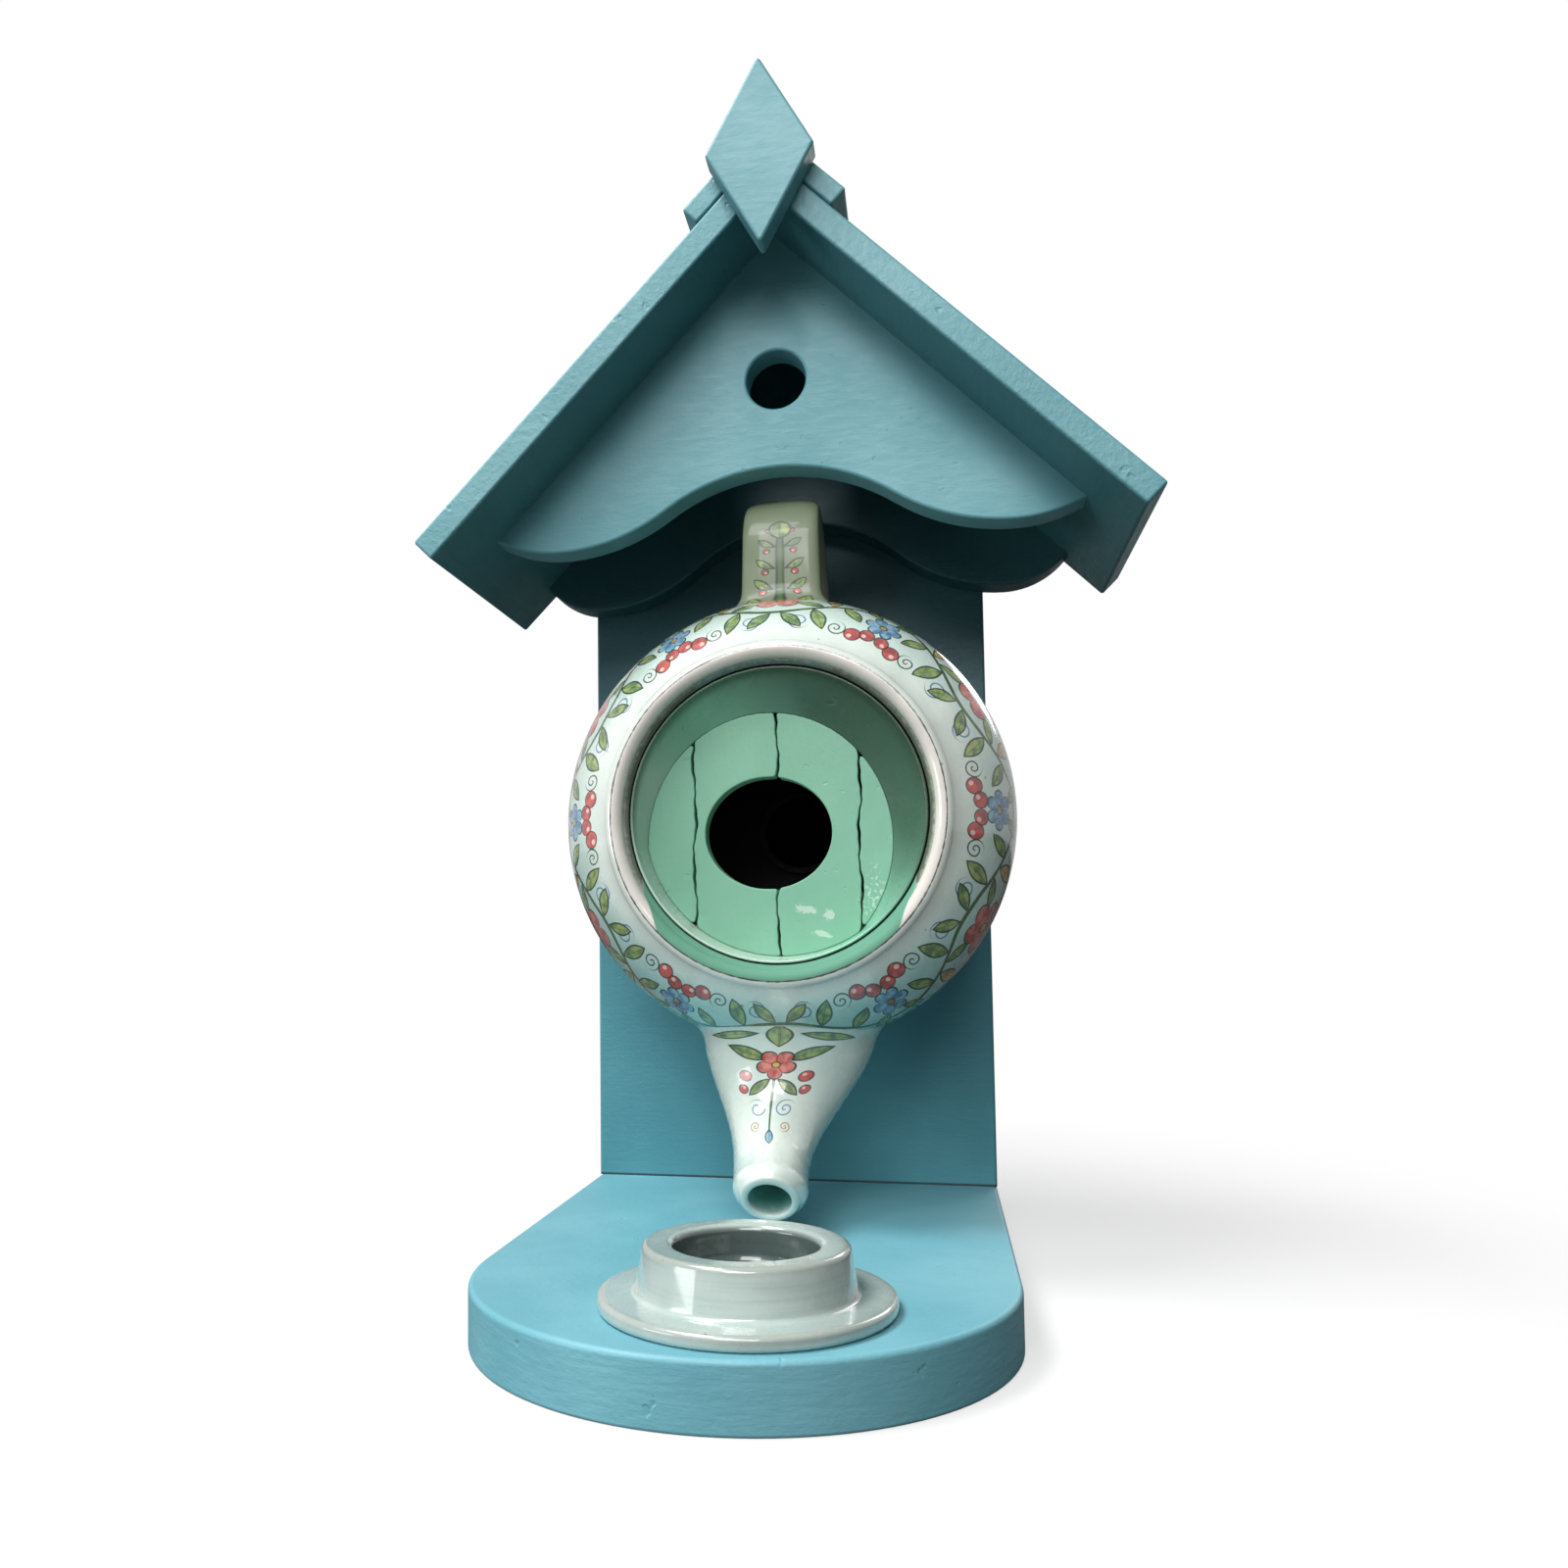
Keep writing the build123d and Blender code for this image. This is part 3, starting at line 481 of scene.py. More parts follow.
# %% Grid to mesh
def skin(name, grid, chart=None, closed=False, caps=False):
    """A mesh through grid, (rows, columns, 3) in metres, closed around its columns.

    closed joins the last row to the first as well, and caps fills both with a flat face. chart
    is (rows, columns + 1, 2), because the seam has two places on it.
    """
    rows, columns = grid.shape[:2]
    steps = rows if closed else rows - 1
    row, column = np.meshgrid(np.arange(steps), np.arange(columns), indexing="ij")
    corners = [(row, column), (row + 1, column), (row + 1, column + 1), (row, column + 1)]
    faces = np.stack([(r % rows) * columns + c % columns for r, c in corners], -1)
    faces = faces.reshape(-1, 4).tolist()
    if caps:
        last = (rows - 1) * columns
        faces += [list(range(columns)), list(range(last, last + columns))]
    mesh = bpy.data.meshes.new(name)
    mesh.from_pydata(grid.reshape(-1, 3).tolist(), [], faces)
    if chart is not None:
        flat = np.stack([chart[np.minimum(r, rows - 1), c] for r, c in corners], 2)
        mesh.uv_layers.new(name="chart").data.foreach_set("uv", flat.astype(np.float32).ravel())
    work = bmesh.new()
    work.from_mesh(mesh)
    bmesh.ops.remove_doubles(work, verts=work.verts, dist=1e-6)
    bmesh.ops.recalc_face_normals(work, faces=work.faces)
    work.to_mesh(mesh)
    work.free()
    mesh.polygons.foreach_set("use_smooth", np.ones(len(mesh.polygons), bool))
    print(name, len(mesh.vertices), "points", len(mesh.polygons), "faces")
    return put(name, mesh)


print("skin() turns a grid into a mesh")

# %% [markdown]
# ## Paths
# Profiles, outlines and middle lines are paths: rows of points. These helpers round their
# corners, measure them, and place points along them.


# %% Paths
def angles(count):
    """Angles at even steps once around a circle."""
    return np.arange(count) / count * 2 * math.pi


def unit(vectors):
    """Vectors in the same directions, each 1 long."""
    return vectors / np.linalg.norm(vectors, axis=-1, keepdims=True)


def rounded(corners, radii, steps=7):
    """A polyline whose corners are arcs: each arc touches both edges, radius by radius."""
    path = []
    for before, corner, after, radius in zip(corners[:-2], corners[1:-1], corners[2:], radii):
        a, b, c = (np.array(p, float) for p in (before, corner, after))
        to_a, to_c = unit(a - b), unit(c - b)
        half = math.acos(np.clip(to_a @ to_c, -1, 1)) / 2
        centre = b + unit(to_a + to_c) * radius / math.sin(half)
        first = b + to_a * radius / math.tan(half) - centre
        last = b + to_c * radius / math.tan(half) - centre
        sweep = math.pi - 2 * half
        share = np.linspace(0, 1, steps)[:, None]
        spoke = np.sin((1 - share) * sweep) * first + np.sin(share * sweep) * last
        path.append(centre + spoke / math.sin(sweep))
    return np.concatenate([[corners[0]], *path, [corners[-1]]])


def bent(first, corner, last, share):
    """A quadratic Bezier curve: weights (1-s)^2, 2s(1-s) and s^2 on its three points."""
    return (1 - share) ** 2 * first + 2 * share * (1 - share) * corner + share**2 * last


def travelled(path):
    """Length along a path, or along every column of a grid, up to each of its points."""
    return np.cumsum(np.linalg.norm(np.diff(path, axis=0, prepend=path[:1]), axis=-1), axis=0)


def placed(path, distances):
    """Points of a path at distances along it, on the straight lines between its points."""
    run = travelled(path)
    return np.stack([np.interp(distances, run, column) for column in path.T], 1)


def resampled(path, step):
    """The same path with points about a step apart, its own points kept."""
    spans = [
        np.linspace(a, b, max(1, int(np.ceil(np.linalg.norm(b - a) / step))), endpoint=False)
        for a, b in zip(path[:-1], path[1:])
    ]
    return np.concatenate([*spans, path[-1:]])


def averaged(loop, weights):
    """A closed path with every point moved to the weighted mean of its neighbours."""
    reach = len(weights) // 2
    moved = [w * np.roll(loop, k, axis=0) for k, w in zip(range(-reach, reach + 1), weights)]
    return sum(moved) / weights.sum()


corner = rounded([(0, 0), (2, 0), (2, 2)], [1.0], 3)
print("a square corner rounded by 1:", corner.round(2).tolist())

# %% [markdown]
# ## The pot's body
# A teapot is turned on a wheel, so its wall is one profile spun about its axis: foot, belly,
# rolled lip, and back down inside to the floor. The profile is given as radius and distance
# forward from the back board. The belly is two quarter ellipses that meet at the widest place,
# and a shallow groove, one quadratic Bezier curve, parts it from the lip.

# %% Body
pot_low, pot_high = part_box("teapot_body")
lip_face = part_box("teapot_shoulder")[0].y
POT_Z = (pot_low.z + pot_high.z) / 2
POT_RADIUS = (pot_high.x - pot_low.x) / 2
POT_DEPTH = -lip_face
BELLY = 48 * mm
WALL = 4 * mm
FOOT = 31 * mm
FOOT_INNER = 27 * mm
FOOT_HIGH = 3 * mm
FLOOR = 7.5 * mm
LIP = 2 * mm
ROLL = 2.4 * mm
ROLL_END = math.radians(28)
MOUTH = 38 * mm
MOUTH_EDGE = 39.2 * mm
MOUTH_SEAT = 71.9 * mm
GROOVE = 46.5 * mm
THROAT = 10 * mm
THROAT_WALL = 3 * mm
LIP_ANGLE = math.radians(60)
CHART_LENGTH = 100 * mm
LIP_PLACE = np.array([MOUTH + LIP, POT_DEPTH - LIP])
BROW = LIP_PLACE + LIP * np.array([math.cos(LIP_ANGLE), math.sin(LIP_ANGLE)])
BACK_REACH = (BELLY - FOOT_HIGH) / math.sqrt(1 - (FOOT / POT_RADIUS) ** 2)
FRONT_REACH = (BROW[1] - BELLY) / math.sqrt(1 - (BROW[0] / POT_RADIUS) ** 2)


def pot_surface(forward):
    """Outer radius: an ellipse about the belly, with one reach behind it and one before."""
    reach = np.where(forward < BELLY, BACK_REACH, FRONT_REACH)
    return POT_RADIUS * np.sqrt(np.clip(1 - ((forward - BELLY) / reach) ** 2, 0, 1))


def belly_curve(inside, start, end, count):
    """Radius times cosine, and belly plus reach times sine, both less a wall if inside."""
    angle = np.linspace(start, end, count)
    reach = np.where(angle < 0, BACK_REACH, FRONT_REACH) - inside
    return np.stack([(POT_RADIUS - inside) * np.cos(angle), BELLY + reach * np.sin(angle)], 1)


def arc(centre, radius, start, end, count):
    """Centre plus radius times cosine and sine of each angle."""
    angle = np.linspace(start, end, count)[:, None]
    return np.asarray(centre) + radius * np.concatenate([np.cos(angle), np.sin(angle)], 1)


print("the belly's radius is", round(POT_RADIUS / mm, 1), "mm")

# %% Profile of the body
heel_angle = -math.asin((BELLY - FOOT_HIGH) / BACK_REACH)
floor_angle = -math.asin((BELLY - FLOOR) / (BACK_REACH - WALL))
throat_angle = math.acos((MOUTH + THROAT_WALL) / (POT_RADIUS - WALL))
foot_ring = rounded(
    [(0, FOOT_HIGH), (FOOT_INNER, FOOT_HIGH), (FOOT_INNER, 0), (FOOT, 0), (FOOT, FOOT_HIGH)],
    [0.8 * mm, 1.2 * mm, 1.2 * mm],
)
groove_angle = math.acos(GROOVE / POT_RADIUS)
outside = belly_curve(0, heel_angle, groove_angle, 120)[1:]
roll_place = (MOUTH_EDGE + ROLL, POT_DEPTH - ROLL)
lip = arc(roll_place, ROLL, ROLL_END, math.pi, 24)
waist = lip[0] + ROLL * np.array([math.sin(ROLL_END), -math.cos(ROLL_END)]) * 0.25
groove = bent(outside[-1], waist, lip[0], np.linspace(0, 1, 12)[1:-1, None])
throat_back = LIP_PLACE[1] - THROAT
inside = belly_curve(WALL, throat_angle, floor_angle, 60)
throat = rounded(
    [
        lip[-1],
        (MOUTH_EDGE, MOUTH_SEAT),
        (MOUTH, MOUTH_SEAT - MOUTH_EDGE + MOUTH),
        (MOUTH, throat_back),
        (MOUTH + THROAT_WALL, throat_back),
        inside[0],
    ],
    [0.5 * mm, 0.5 * mm, 0.9 * mm, 0.9 * mm],
)[1:-1]
profile = np.concatenate([foot_ring, outside, groove, lip, throat, inside, [(0, FLOOR)]])
profile = resampled(profile, 2.5 * mm)
print("the body's profile has", len(profile), "points")

# %% [markdown]
# The chart of the body keeps the turn around the pot, and the distance along the profile from
# the crest of the lip in units of 100 mm. The painting is drawn on it.

# %% Spin the body
TURNS = 240
run = travelled(profile)
from_lip = run[np.argmax(profile[:, 1])] - run
turn = angles(TURNS)
body_grid = np.stack([
    profile[:, :1] * np.sin(turn),
    -profile[:, 1:] + 0 * turn,
    POT_Z + profile[:, :1] * np.cos(turn),
], 2)
turns, lengths = np.meshgrid(np.arange(TURNS + 1) / TURNS, from_lip / CHART_LENGTH)
pot_body = skin("pot_body", body_grid, np.stack([turns, lengths], 2))
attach(pot_body, "house")
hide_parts("teapot_body", "teapot_shoulder")
print("lip to foot over the belly", round(from_lip[len(foot_ring)] / mm, 1), "mm")

# %% [markdown]
# ## Spout and handle grow out of the body
# A potter luts the spout and the handle on while the clay is soft and smooths the joint with a
# finger, so both leave the body in a fillet. Each is first a tube that starts inside the body.
# Along every line of the tube we look for the point where it comes out of the body. A fillet is
# then a curve with three control points: one on the body's surface, that corner, and one
# further up the tube. It touches both surfaces.


# %% Fillets between a tube and the body
def depth_outside(points):
    """How far points lie outside the body's surface, square to the pot's axis."""
    return np.hypot(points[..., 0], points[..., 2] - POT_Z) - pot_surface(-points[..., 1])


def between_rows(grid, row):
    """Points of a grid's columns at rows that needn't be whole: a share of each neighbour."""
    below = np.clip(np.floor(row).astype(int), 0, len(grid) - 2)
    column = np.arange(grid.shape[1])
    share = (row - below)[..., None]
    return grid[below, column] * (1 - share) + grid[below + 1, column] * share


def crossing(values):
    """The row, as a share, at which each column's values first rise past 0."""
    after = np.argmax(values > 0, axis=0)
    column = np.arange(values.shape[1])
    high, low = values[after, column], values[after - 1, column]
    return after - high / (high - low)


def rows_between(tube, first, last, shares):
    """Rows of a tube at shares of the way from the row first to the row last."""
    return between_rows(tube, first + (last - first) * shares[:, None])


def away(points):
    """Directions from the pot's axis to points, square to the axis."""
    return unit(np.stack([points[:, 0], 0 * points[:, 0], points[:, 2] - POT_Z], 1))


FOOT_SUNK = 0.12 * mm


def root_fillet(tube, reach, spread, steps=10):
    """Rows of the fillet from the body to the tube, and the row of the tube that it meets.

    reach is how far up the tube the fillet goes, and spread how far out on the body.
    """
    corner_row = crossing(depth_outside(tube))
    corner = between_rows(tube, corner_row)
    run = travelled(tube)
    run_to_corner = between_rows(run[..., None], corner_row)[:, 0]
    start_row = crossing(run - run_to_corner - reach)
    out = corner - corner.mean(0)
    out -= (out * away(corner)).sum(1, keepdims=True) * away(corner)
    foot = corner + spread * unit(out)
    foot = foot - away(foot) * (depth_outside(foot) + FOOT_SUNK)[:, None]
    share = np.linspace(0, 1, steps)[:, None, None]
    return bent(foot, corner, between_rows(tube, start_row), share), start_row


def tube_chart(grid):
    """Chart of a tube: turn share, 0 along its front, and distance along its front line."""
    run = travelled(grid[:, grid.shape[1] // 2])
    shares = np.arange(grid.shape[1] + 1) / grid.shape[1] - 0.5
    return np.stack(np.meshgrid(shares, run / CHART_LENGTH), 2)


above = np.array([0, -BELLY, POT_Z + POT_RADIUS + 5 * mm])
print("5 mm above the belly is", round(float(depth_outside(above)) / mm, 2), "mm outside")

# %% [markdown]
# ## The spout
# It leaves the belly's underside, tapers as it turns forward, and ends in a round mouth that
# looks half down. Its middle line is a cubic Bezier curve that bows a little to the left, and
# its section is an oval that swells towards the root like the side of a bell. The bore is a
# second, lower tube inside it. Both end on one slanted plane, where a rounded nose and lip join
# them.

# %% Spout
SPOUT_ROOT = 42 * mm
SPOUT_REACH = 89 * mm
TIP_Z = base_top + 10.3 * mm
ROOT_Z = POT_Z - POT_RADIUS + 10 * mm
TIP_SLOPE = math.radians(6)
TIP_RUN = 22 * mm
ROOT_FALL = 29 * mm
TIP_RADIUS = 9.2 * mm
ROOT_WIDE = 24 * mm
ROOT_DEEP = 19 * mm
BELL = 0.38
BELL_POWER = 2.3
LEAN = 44 * mm
LEAN_TIP = 1.3 * mm
SPOUT_WALL = 4 * mm
BORE_DROP = 0.6 * mm
MOUTH_TILT = math.radians(42)
MOUTH_BEHIND = 0.4 * mm
LIP_BULGE = 0.8 * mm
NOSE = 5 * mm
spout_line = np.array([
    (SPOUT_ROOT, ROOT_Z),
    (SPOUT_ROOT, ROOT_Z - ROOT_FALL),
    (SPOUT_REACH - TIP_RUN * math.cos(TIP_SLOPE), TIP_Z + TIP_RUN * math.sin(TIP_SLOPE)),
    (SPOUT_REACH, TIP_Z),
])
COLUMNS = 96
angle = angles(COLUMNS) - math.pi / 2


def bezier(points, share):
    """Point and direction of a cubic Bezier curve: weights (1-s)^3, 3s(1-s)^2, 3s^2(1-s), s^3."""
    s = share[:, None]
    place = (1 - s) ** 3 * points[0] + 3 * s * (1 - s) ** 2 * points[1]
    place = place + 3 * s**2 * (1 - s) * points[2] + s**3 * points[3]
    way = (1 - s) ** 2 * (points[1] - points[0]) + 2 * s * (1 - s) * (points[2] - points[1])
    way = way + s**2 * (points[3] - points[2])
    return place, unit(way)


def spout_tube(wall, drop=0, count=300):
    """Ovals square to the spout's line, a drop below it; column angle 90 degrees is the front.

    Half a width is the tip's radius plus (root less tip) times exp(-(share/bell)^power), less
    the wall. The lean to the left is lean times (s(1-s))^2 plus the tip's lean times s^2.
    """
    share = np.linspace(0, 1, count)
    place, way = bezier(spout_line, share)
    swell = np.exp(-(share / BELL) ** BELL_POWER)
    lean = LEAN * (share * (1 - share)) ** 2 + LEAN_TIP * share**2
    wide = TIP_RADIUS + (ROOT_WIDE - TIP_RADIUS) * swell - wall
    deep = TIP_RADIUS + (ROOT_DEEP - TIP_RADIUS) * swell - wall
    forward = place[:, :1] - way[:, 1:] * deep[:, None] * np.sin(angle)
    up = place[:, 1:] + way[:, :1] * deep[:, None] * np.sin(angle) - drop
    return np.stack([wide[:, None] * np.cos(angle) - lean[:, None], -forward, up], 2)


print("spout's line leans", LEAN_TIP / mm, "mm at its tip")

# %% [markdown]
# The outer tube runs from its fillet to the plane of the mouth. Near its end it is drawn in to
# half the wall, so that the nose is soft. Then come the lip and the bore, back to the body.

# %% Spout as a mesh
mouth_way = np.array([0, -math.cos(MOUTH_TILT), -math.sin(MOUTH_TILT)])
mouth_y = TIP_RADIUS * math.tan(MOUTH_TILT) - SPOUT_REACH - MOUTH_BEHIND
mouth_at = np.array([0, mouth_y, TIP_Z])
outer, inner = spout_tube(0), spout_tube(SPOUT_WALL, BORE_DROP)
fillet, start_row = root_fillet(outer, reach=6 * mm, spread=5 * mm)
end_row = crossing((outer - mouth_at) @ mouth_way)
outer_wall = rows_between(outer, start_row, end_row, np.linspace(0, 1, 70)[1:])
inner_end = crossing((inner - mouth_at) @ mouth_way)
inner_start = crossing(depth_outside(inner))
inner_wall = rows_between(inner, inner_end, inner_start, np.linspace(0, 1, 40))
middle = (outer_wall[-1] + inner_wall[0]) / 2
left_over = np.linalg.norm(outer_wall - outer_wall[-1], axis=2)
nose = np.clip(1 - left_over / NOSE, 0, 1)[..., None] ** 2
outer_wall = outer_wall + nose * (middle - outer_wall[-1])
rim_out, rim_in = outer_wall[-1], inner_wall[0]
share = np.linspace(0, math.pi, 11)[1:-1, None, None]
rim = (rim_out + rim_in) / 2 + (rim_out - rim_in) / 2 * np.cos(share)
rim = rim + mouth_way * LIP_BULGE * np.sin(share)
spout_grid = np.concatenate([fillet, outer_wall, rim, inner_wall])
pot_spout = skin("pot_spout", spout_grid, tube_chart(spout_grid), closed=True)
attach(pot_spout, "house")
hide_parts("teapot_spout")
spout_front = spout_grid[: len(fillet) + len(outer_wall) + 1, COLUMNS // 2]
spout_length = travelled(spout_front)[-1]
print("spout's front", round(spout_length / mm, 1), "mm long")

# %% [markdown]
# ## The handle
# A strap, pulled from a roll of clay: flat, with soft edges, and widest where it meets the body.
# Its line rises from the belly's top, turns over in a quarter ellipse, and comes down in a
# longer one to the shoulder by the foot. The line's direction is averaged along it, so that the
# strap turns evenly. The section is a superellipse, between an oval and a rectangle: cosine and
# sine, each raised to 2 / squareness with its sign kept.

# %% Handle
handle_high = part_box("teapot_handle")[1]
STRAP_THICK = 6 * mm
STRAP_ROOT_WIDE = handle_high.x - 0.4 * mm
STRAP_TOP_WIDE = STRAP_ROOT_WIDE - 1.1 * mm
SQUARENESS = 3.4
FRONT_LEG = 50 * mm
CROWN = 40 * mm
BACK_LEG = 13 * mm
SHOULDER_DROP = 11 * mm
BACK_DROP = 27 * mm
LEG_SUNK = 8 * mm
POLE_SUNK = 1.5 * mm
crown_z = handle_high.z - STRAP_THICK / 2
quarter = np.linspace(0, math.pi / 2, 40)


def shoulder(leg, drop):
    """From a leg up to the crown: the way over times cosine, the drop times 1 less sine."""
    over = CROWN + (leg - CROWN) * np.cos(quarter)
    return np.stack([over, crown_z - drop * (1 - np.sin(quarter))], 1)


front_end, back_end = (
    [(leg, POT_Z + float(pot_surface(leg)) - LEG_SUNK)] for leg in (FRONT_LEG, BACK_LEG)
)
front_bend, back_bend = shoulder(FRONT_LEG, SHOULDER_DROP), shoulder(BACK_LEG, BACK_DROP)
strap_line = np.concatenate([front_end, front_bend, back_bend[-2::-1], back_end])
even = np.linspace(0, travelled(strap_line)[-1], 340)
place = placed(strap_line, even)
soft = np.hanning(17) / np.hanning(17).sum()
way = np.gradient(place, axis=0)
way = unit(np.stack([np.convolve(np.pad(w, 8, "edge"), soft, "valid") for w in way.T], 1))
middle_share = np.sin(math.pi * even / even[-1])
wide = STRAP_ROOT_WIDE + (STRAP_TOP_WIDE - STRAP_ROOT_WIDE) * middle_share
turned_x, turned_y = (
    np.sign(part) * np.abs(part) ** (2 / SQUARENESS) for part in (np.cos(angle), np.sin(angle))
)
thick = STRAP_THICK / 2 * turned_y
strap = np.stack([
    wide[:, None] * turned_x,
    -(place[:, :1] + way[:, 1:] * thick),
    place[:, 1:] - way[:, :1] * thick,
], 2)
front_fillet, front_row = root_fillet(strap, reach=4 * mm, spread=3.5 * mm)
back_fillet, back_row = root_fillet(strap[::-1], reach=4 * mm, spread=3.5 * mm)
back_row = len(strap) - 1 - back_row
strap_walls = rows_between(strap, front_row, back_row, np.linspace(0, 1, 130)[1:-1])
strap_grid = np.concatenate([front_fillet, strap_walls, back_fillet[::-1]])
poles = strap_grid[[0, -1]].mean(1, keepdims=True) - np.array([0, 0, POLE_SUNK])
poles = np.repeat(poles, COLUMNS, 1)
strap_grid = np.concatenate([poles[:1], strap_grid, poles[1:]])
pot_handle = skin("pot_handle", strap_grid, tube_chart(strap_grid))
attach(pot_handle, "house")
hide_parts("teapot_handle")
print("handle's middle line", round(even[-1] / mm, 1), "mm long")

# %% [markdown]
# ## Painting on the pot
# The pot is painted under its glaze in a folk manner: a vine with coral and blue blossoms, red
# berries and curling tendrils, drawn with a fine dark pen and filled with watery colour. It is
# built on the chart, in millimetres. The band is cut into cells, and each cell is mirrored about
# its middle. Every motif is a distance, below 0 inside its shape: filled where it is below 0,
# and inked where it is near 0.


# %% Motifs
INK = (30, 54, 48)
LEAF = ((156, 174, 96), (84, 116, 60))
CORAL = ((222, 128, 116), (180, 58, 60))
BLUE = ((142, 186, 208), (70, 116, 158))
OCHRE = ((214, 184, 108), (168, 130, 62))
RED = ((206, 70, 66), (150, 36, 42))


class Painting:
    """Colour laid over colour at x and y on the chart, in millimetres, by a hand that strays."""

    def __init__(self, sheet, ground, place, x, y, wobble):
        self.sheet = sheet
        self.colour = ground
        self.water = sheet.fade(sheet.noise(place, 2.4 * mm, 2.0), 0.36, 0.64)
        elsewhere = sheet.stretch(place, place=(0.3, 0.1, 0.2))
        x, y = (
            way + (sheet.noise(start, 11 * mm, 1.0) - 0.5) * wobble
            for way, start in ((x, place), (y, elsewhere))
        )
        self.point = sheet.node("ShaderNodeCombineXYZ", {0: x, 1: y})

    def at(self, centre, size=(1, 1), turn=0):
        """Coordinates of a motif: its own middle, its own size as 1, its own direction."""
        moved = self.sheet.stretch(self.point, (*size, 1), (0, 0, turn), (*centre, 0))
        return self.sheet.split(moved)[:2]

    def fill(self, distance, shades, line=0.19):
        """Watery colour where distance is below 0, and an ink line along its edge."""
        sheet = self.sheet
        wash = sheet.mix(self.water, *shades)
        self.colour = sheet.mix(sheet.fade(distance, 0.1, -0.1, 0, 0.9), self.colour, wash)
        self.stroke(abs(distance), line)

    def stroke(self, distance, half, ink=INK, strength=0.92):
        """A line where distance is below half its width."""
        sheet = self.sheet
        share = sheet.fade(distance, half + 0.1, half - 0.08, 0, strength)
        self.colour = sheet.mix(share, self.colour, ink)

    def leaf(self, centre, length, width, turn, shades=LEAF):
        """Two arcs that meet in two tips, and a midrib."""
        along, across = self.at(centre, (length / 2, width / 2), turn)
        outline = (abs(across) + along * along - 1) * (width / 2)
        self.fill(outline, shades)
        self.stroke((abs(across) * (width / 2)).high(outline + 0.35), 0.07, strength=0.6)

    def blossom(self, centre, radius, petals, shades, turn=0):
        """Round petals about a heart: the edge swings with the angle, petal by petal."""
        x, y = self.at(centre, (radius, radius), turn)
        reach = self.sheet.reach(x, y)
        swing = abs(self.sheet.sum("COSINE", self.sheet.sum("ARCTAN2", y, x) * (petals / 2)))
        self.fill((reach - 0.58 - swing**0.55 * 0.42) * radius, shades)
        fold = swing * reach * (2 / petals)
        self.stroke(fold.high(0.2 - reach).high(reach - 0.56) * radius, 0.1, shades[1])
        self.fill((reach - 0.2) * radius, OCHRE, 0.12)

    def berry(self, centre, radius):
        """A round berry with a light on it."""
        x, y = self.at(centre)
        self.fill(self.sheet.reach(x, y) - radius, RED, 0.12)
        x, y = self.at((centre[0] - 0.3 * radius, centre[1] - 0.35 * radius))
        self.stroke(self.sheet.reach(x, y), 0.3 * radius, (244, 214, 204), 0.8)

    def curl(self, centre, radius, turn=0, rounds=1.6, ink=BLUE[1]):
        """A spiral: where radius times rounds, less the share of a turn, is a whole number."""
        x, y = self.at(centre, (radius, radius), turn)
        reach = self.sheet.reach(x, y)
        winding = reach * rounds - self.sheet.sum("ARCTAN2", y, x) / (2 * math.pi)
        off = abs(winding - self.sheet.sum("ROUND", winding)) * (radius / rounds)
        self.stroke(off.high((reach - 1) * radius), 0.17, ink, 0.9)

    def twig(self, distance, half=0.3):
        """A green stem with inked sides."""
        self.stroke(distance, half + 0.12)
        self.stroke(distance, half - 0.06, LEAF[1], 0.8)


print("inks:", len(LEAF + CORAL + BLUE + OCHRE + RED) + 1)

# %% [markdown]
# ## The glaze
# A pale celadon over white clay, thick and clear, so it shines in two layers: a soft one from
# the glaze itself and a sharp one from its coat. It pools a little unevenly, carries a few iron
# specks and pinholes, and thins to brown on the crest of the lip. At the foot of the lip's inner
# side, the door's green paint was brushed over it. Just inside the lip an olive painted shade
# lies on the glaze, and deeper inside the pot the colour is painted near black, painted shade,
# so that the nest chamber shows black.

# %% Glaze
def glazed(name, light, shade, paint_on=None, uneven=1.0, bare=None):
    """Clear glaze over light clay, with specks, pinholes and what paint_on adds.

    bare is 1 where the surface is dull.
    """
    material, sheet, place = finish(name)
    cloud = sheet.noise(place, 24 * mm, 3.0)
    colour = sheet.mix(sheet.fade(cloud, 0.32, 0.7), shade, light)
    if paint_on:
        colour = paint_on(sheet, place, colour)
    speck = sheet.noise(place, 2.1 * mm, 1.0, 0.4)
    iron = sheet.fade(speck, 0.205, 0.17)
    colour = sheet.mix(iron * 0.6, colour, (96, 74, 48))
    pool = sheet.noise(place, 11 * mm, 1.0, 0.4)
    ripple = sheet.noise(place, 3.2 * mm, 2.0, 0.4)
    low_normal = sheet.bump(pool, 0.6 * mm * uneven)
    normal = sheet.bump(ripple * 0.3 - iron * 0.6, 0.09 * mm * uneven, low_normal)
    coat = sheet.fade(cloud, 0.2, 0.5, 0.75, 1.0)
    rough = sheet.fade(ripple, 0.35, 0.65, 0.2, 0.3)
    if bare:
        dull = bare(sheet, place)
        coat = coat * (1 - dull)
        rough = rough.high(dull * 0.75)
    sockets = {"Base Color": colour, "Roughness": rough, "Coat Weight": coat, "Normal": normal}
    fixed = {"Specular IOR Level": 0.45, "Coat Roughness": 0.05, "Coat IOR": 1.5}
    surface_of(sheet, {**sockets, **fixed})
    return material


def chart_of(sheet):
    """Turn share, and millimetres along the chart."""
    turns, length, _ = sheet.split(sheet.node("ShaderNodeUVMap", uv_map="chart"))
    return turns, length * (CHART_LENGTH / mm)


print("a chart unit is", CHART_LENGTH / mm, "mm")

# %% [markdown]
# ## The band of the body
# Cells go around the body in two rows, drawn a little enlarged. A stem swings through each row,
# and in a cell the leaves, berries and curls sit beside it. Distances along the body, arc_mm, are
# millimetres from the crest of the lip: above 0 on the outside, below 0 on the inside.

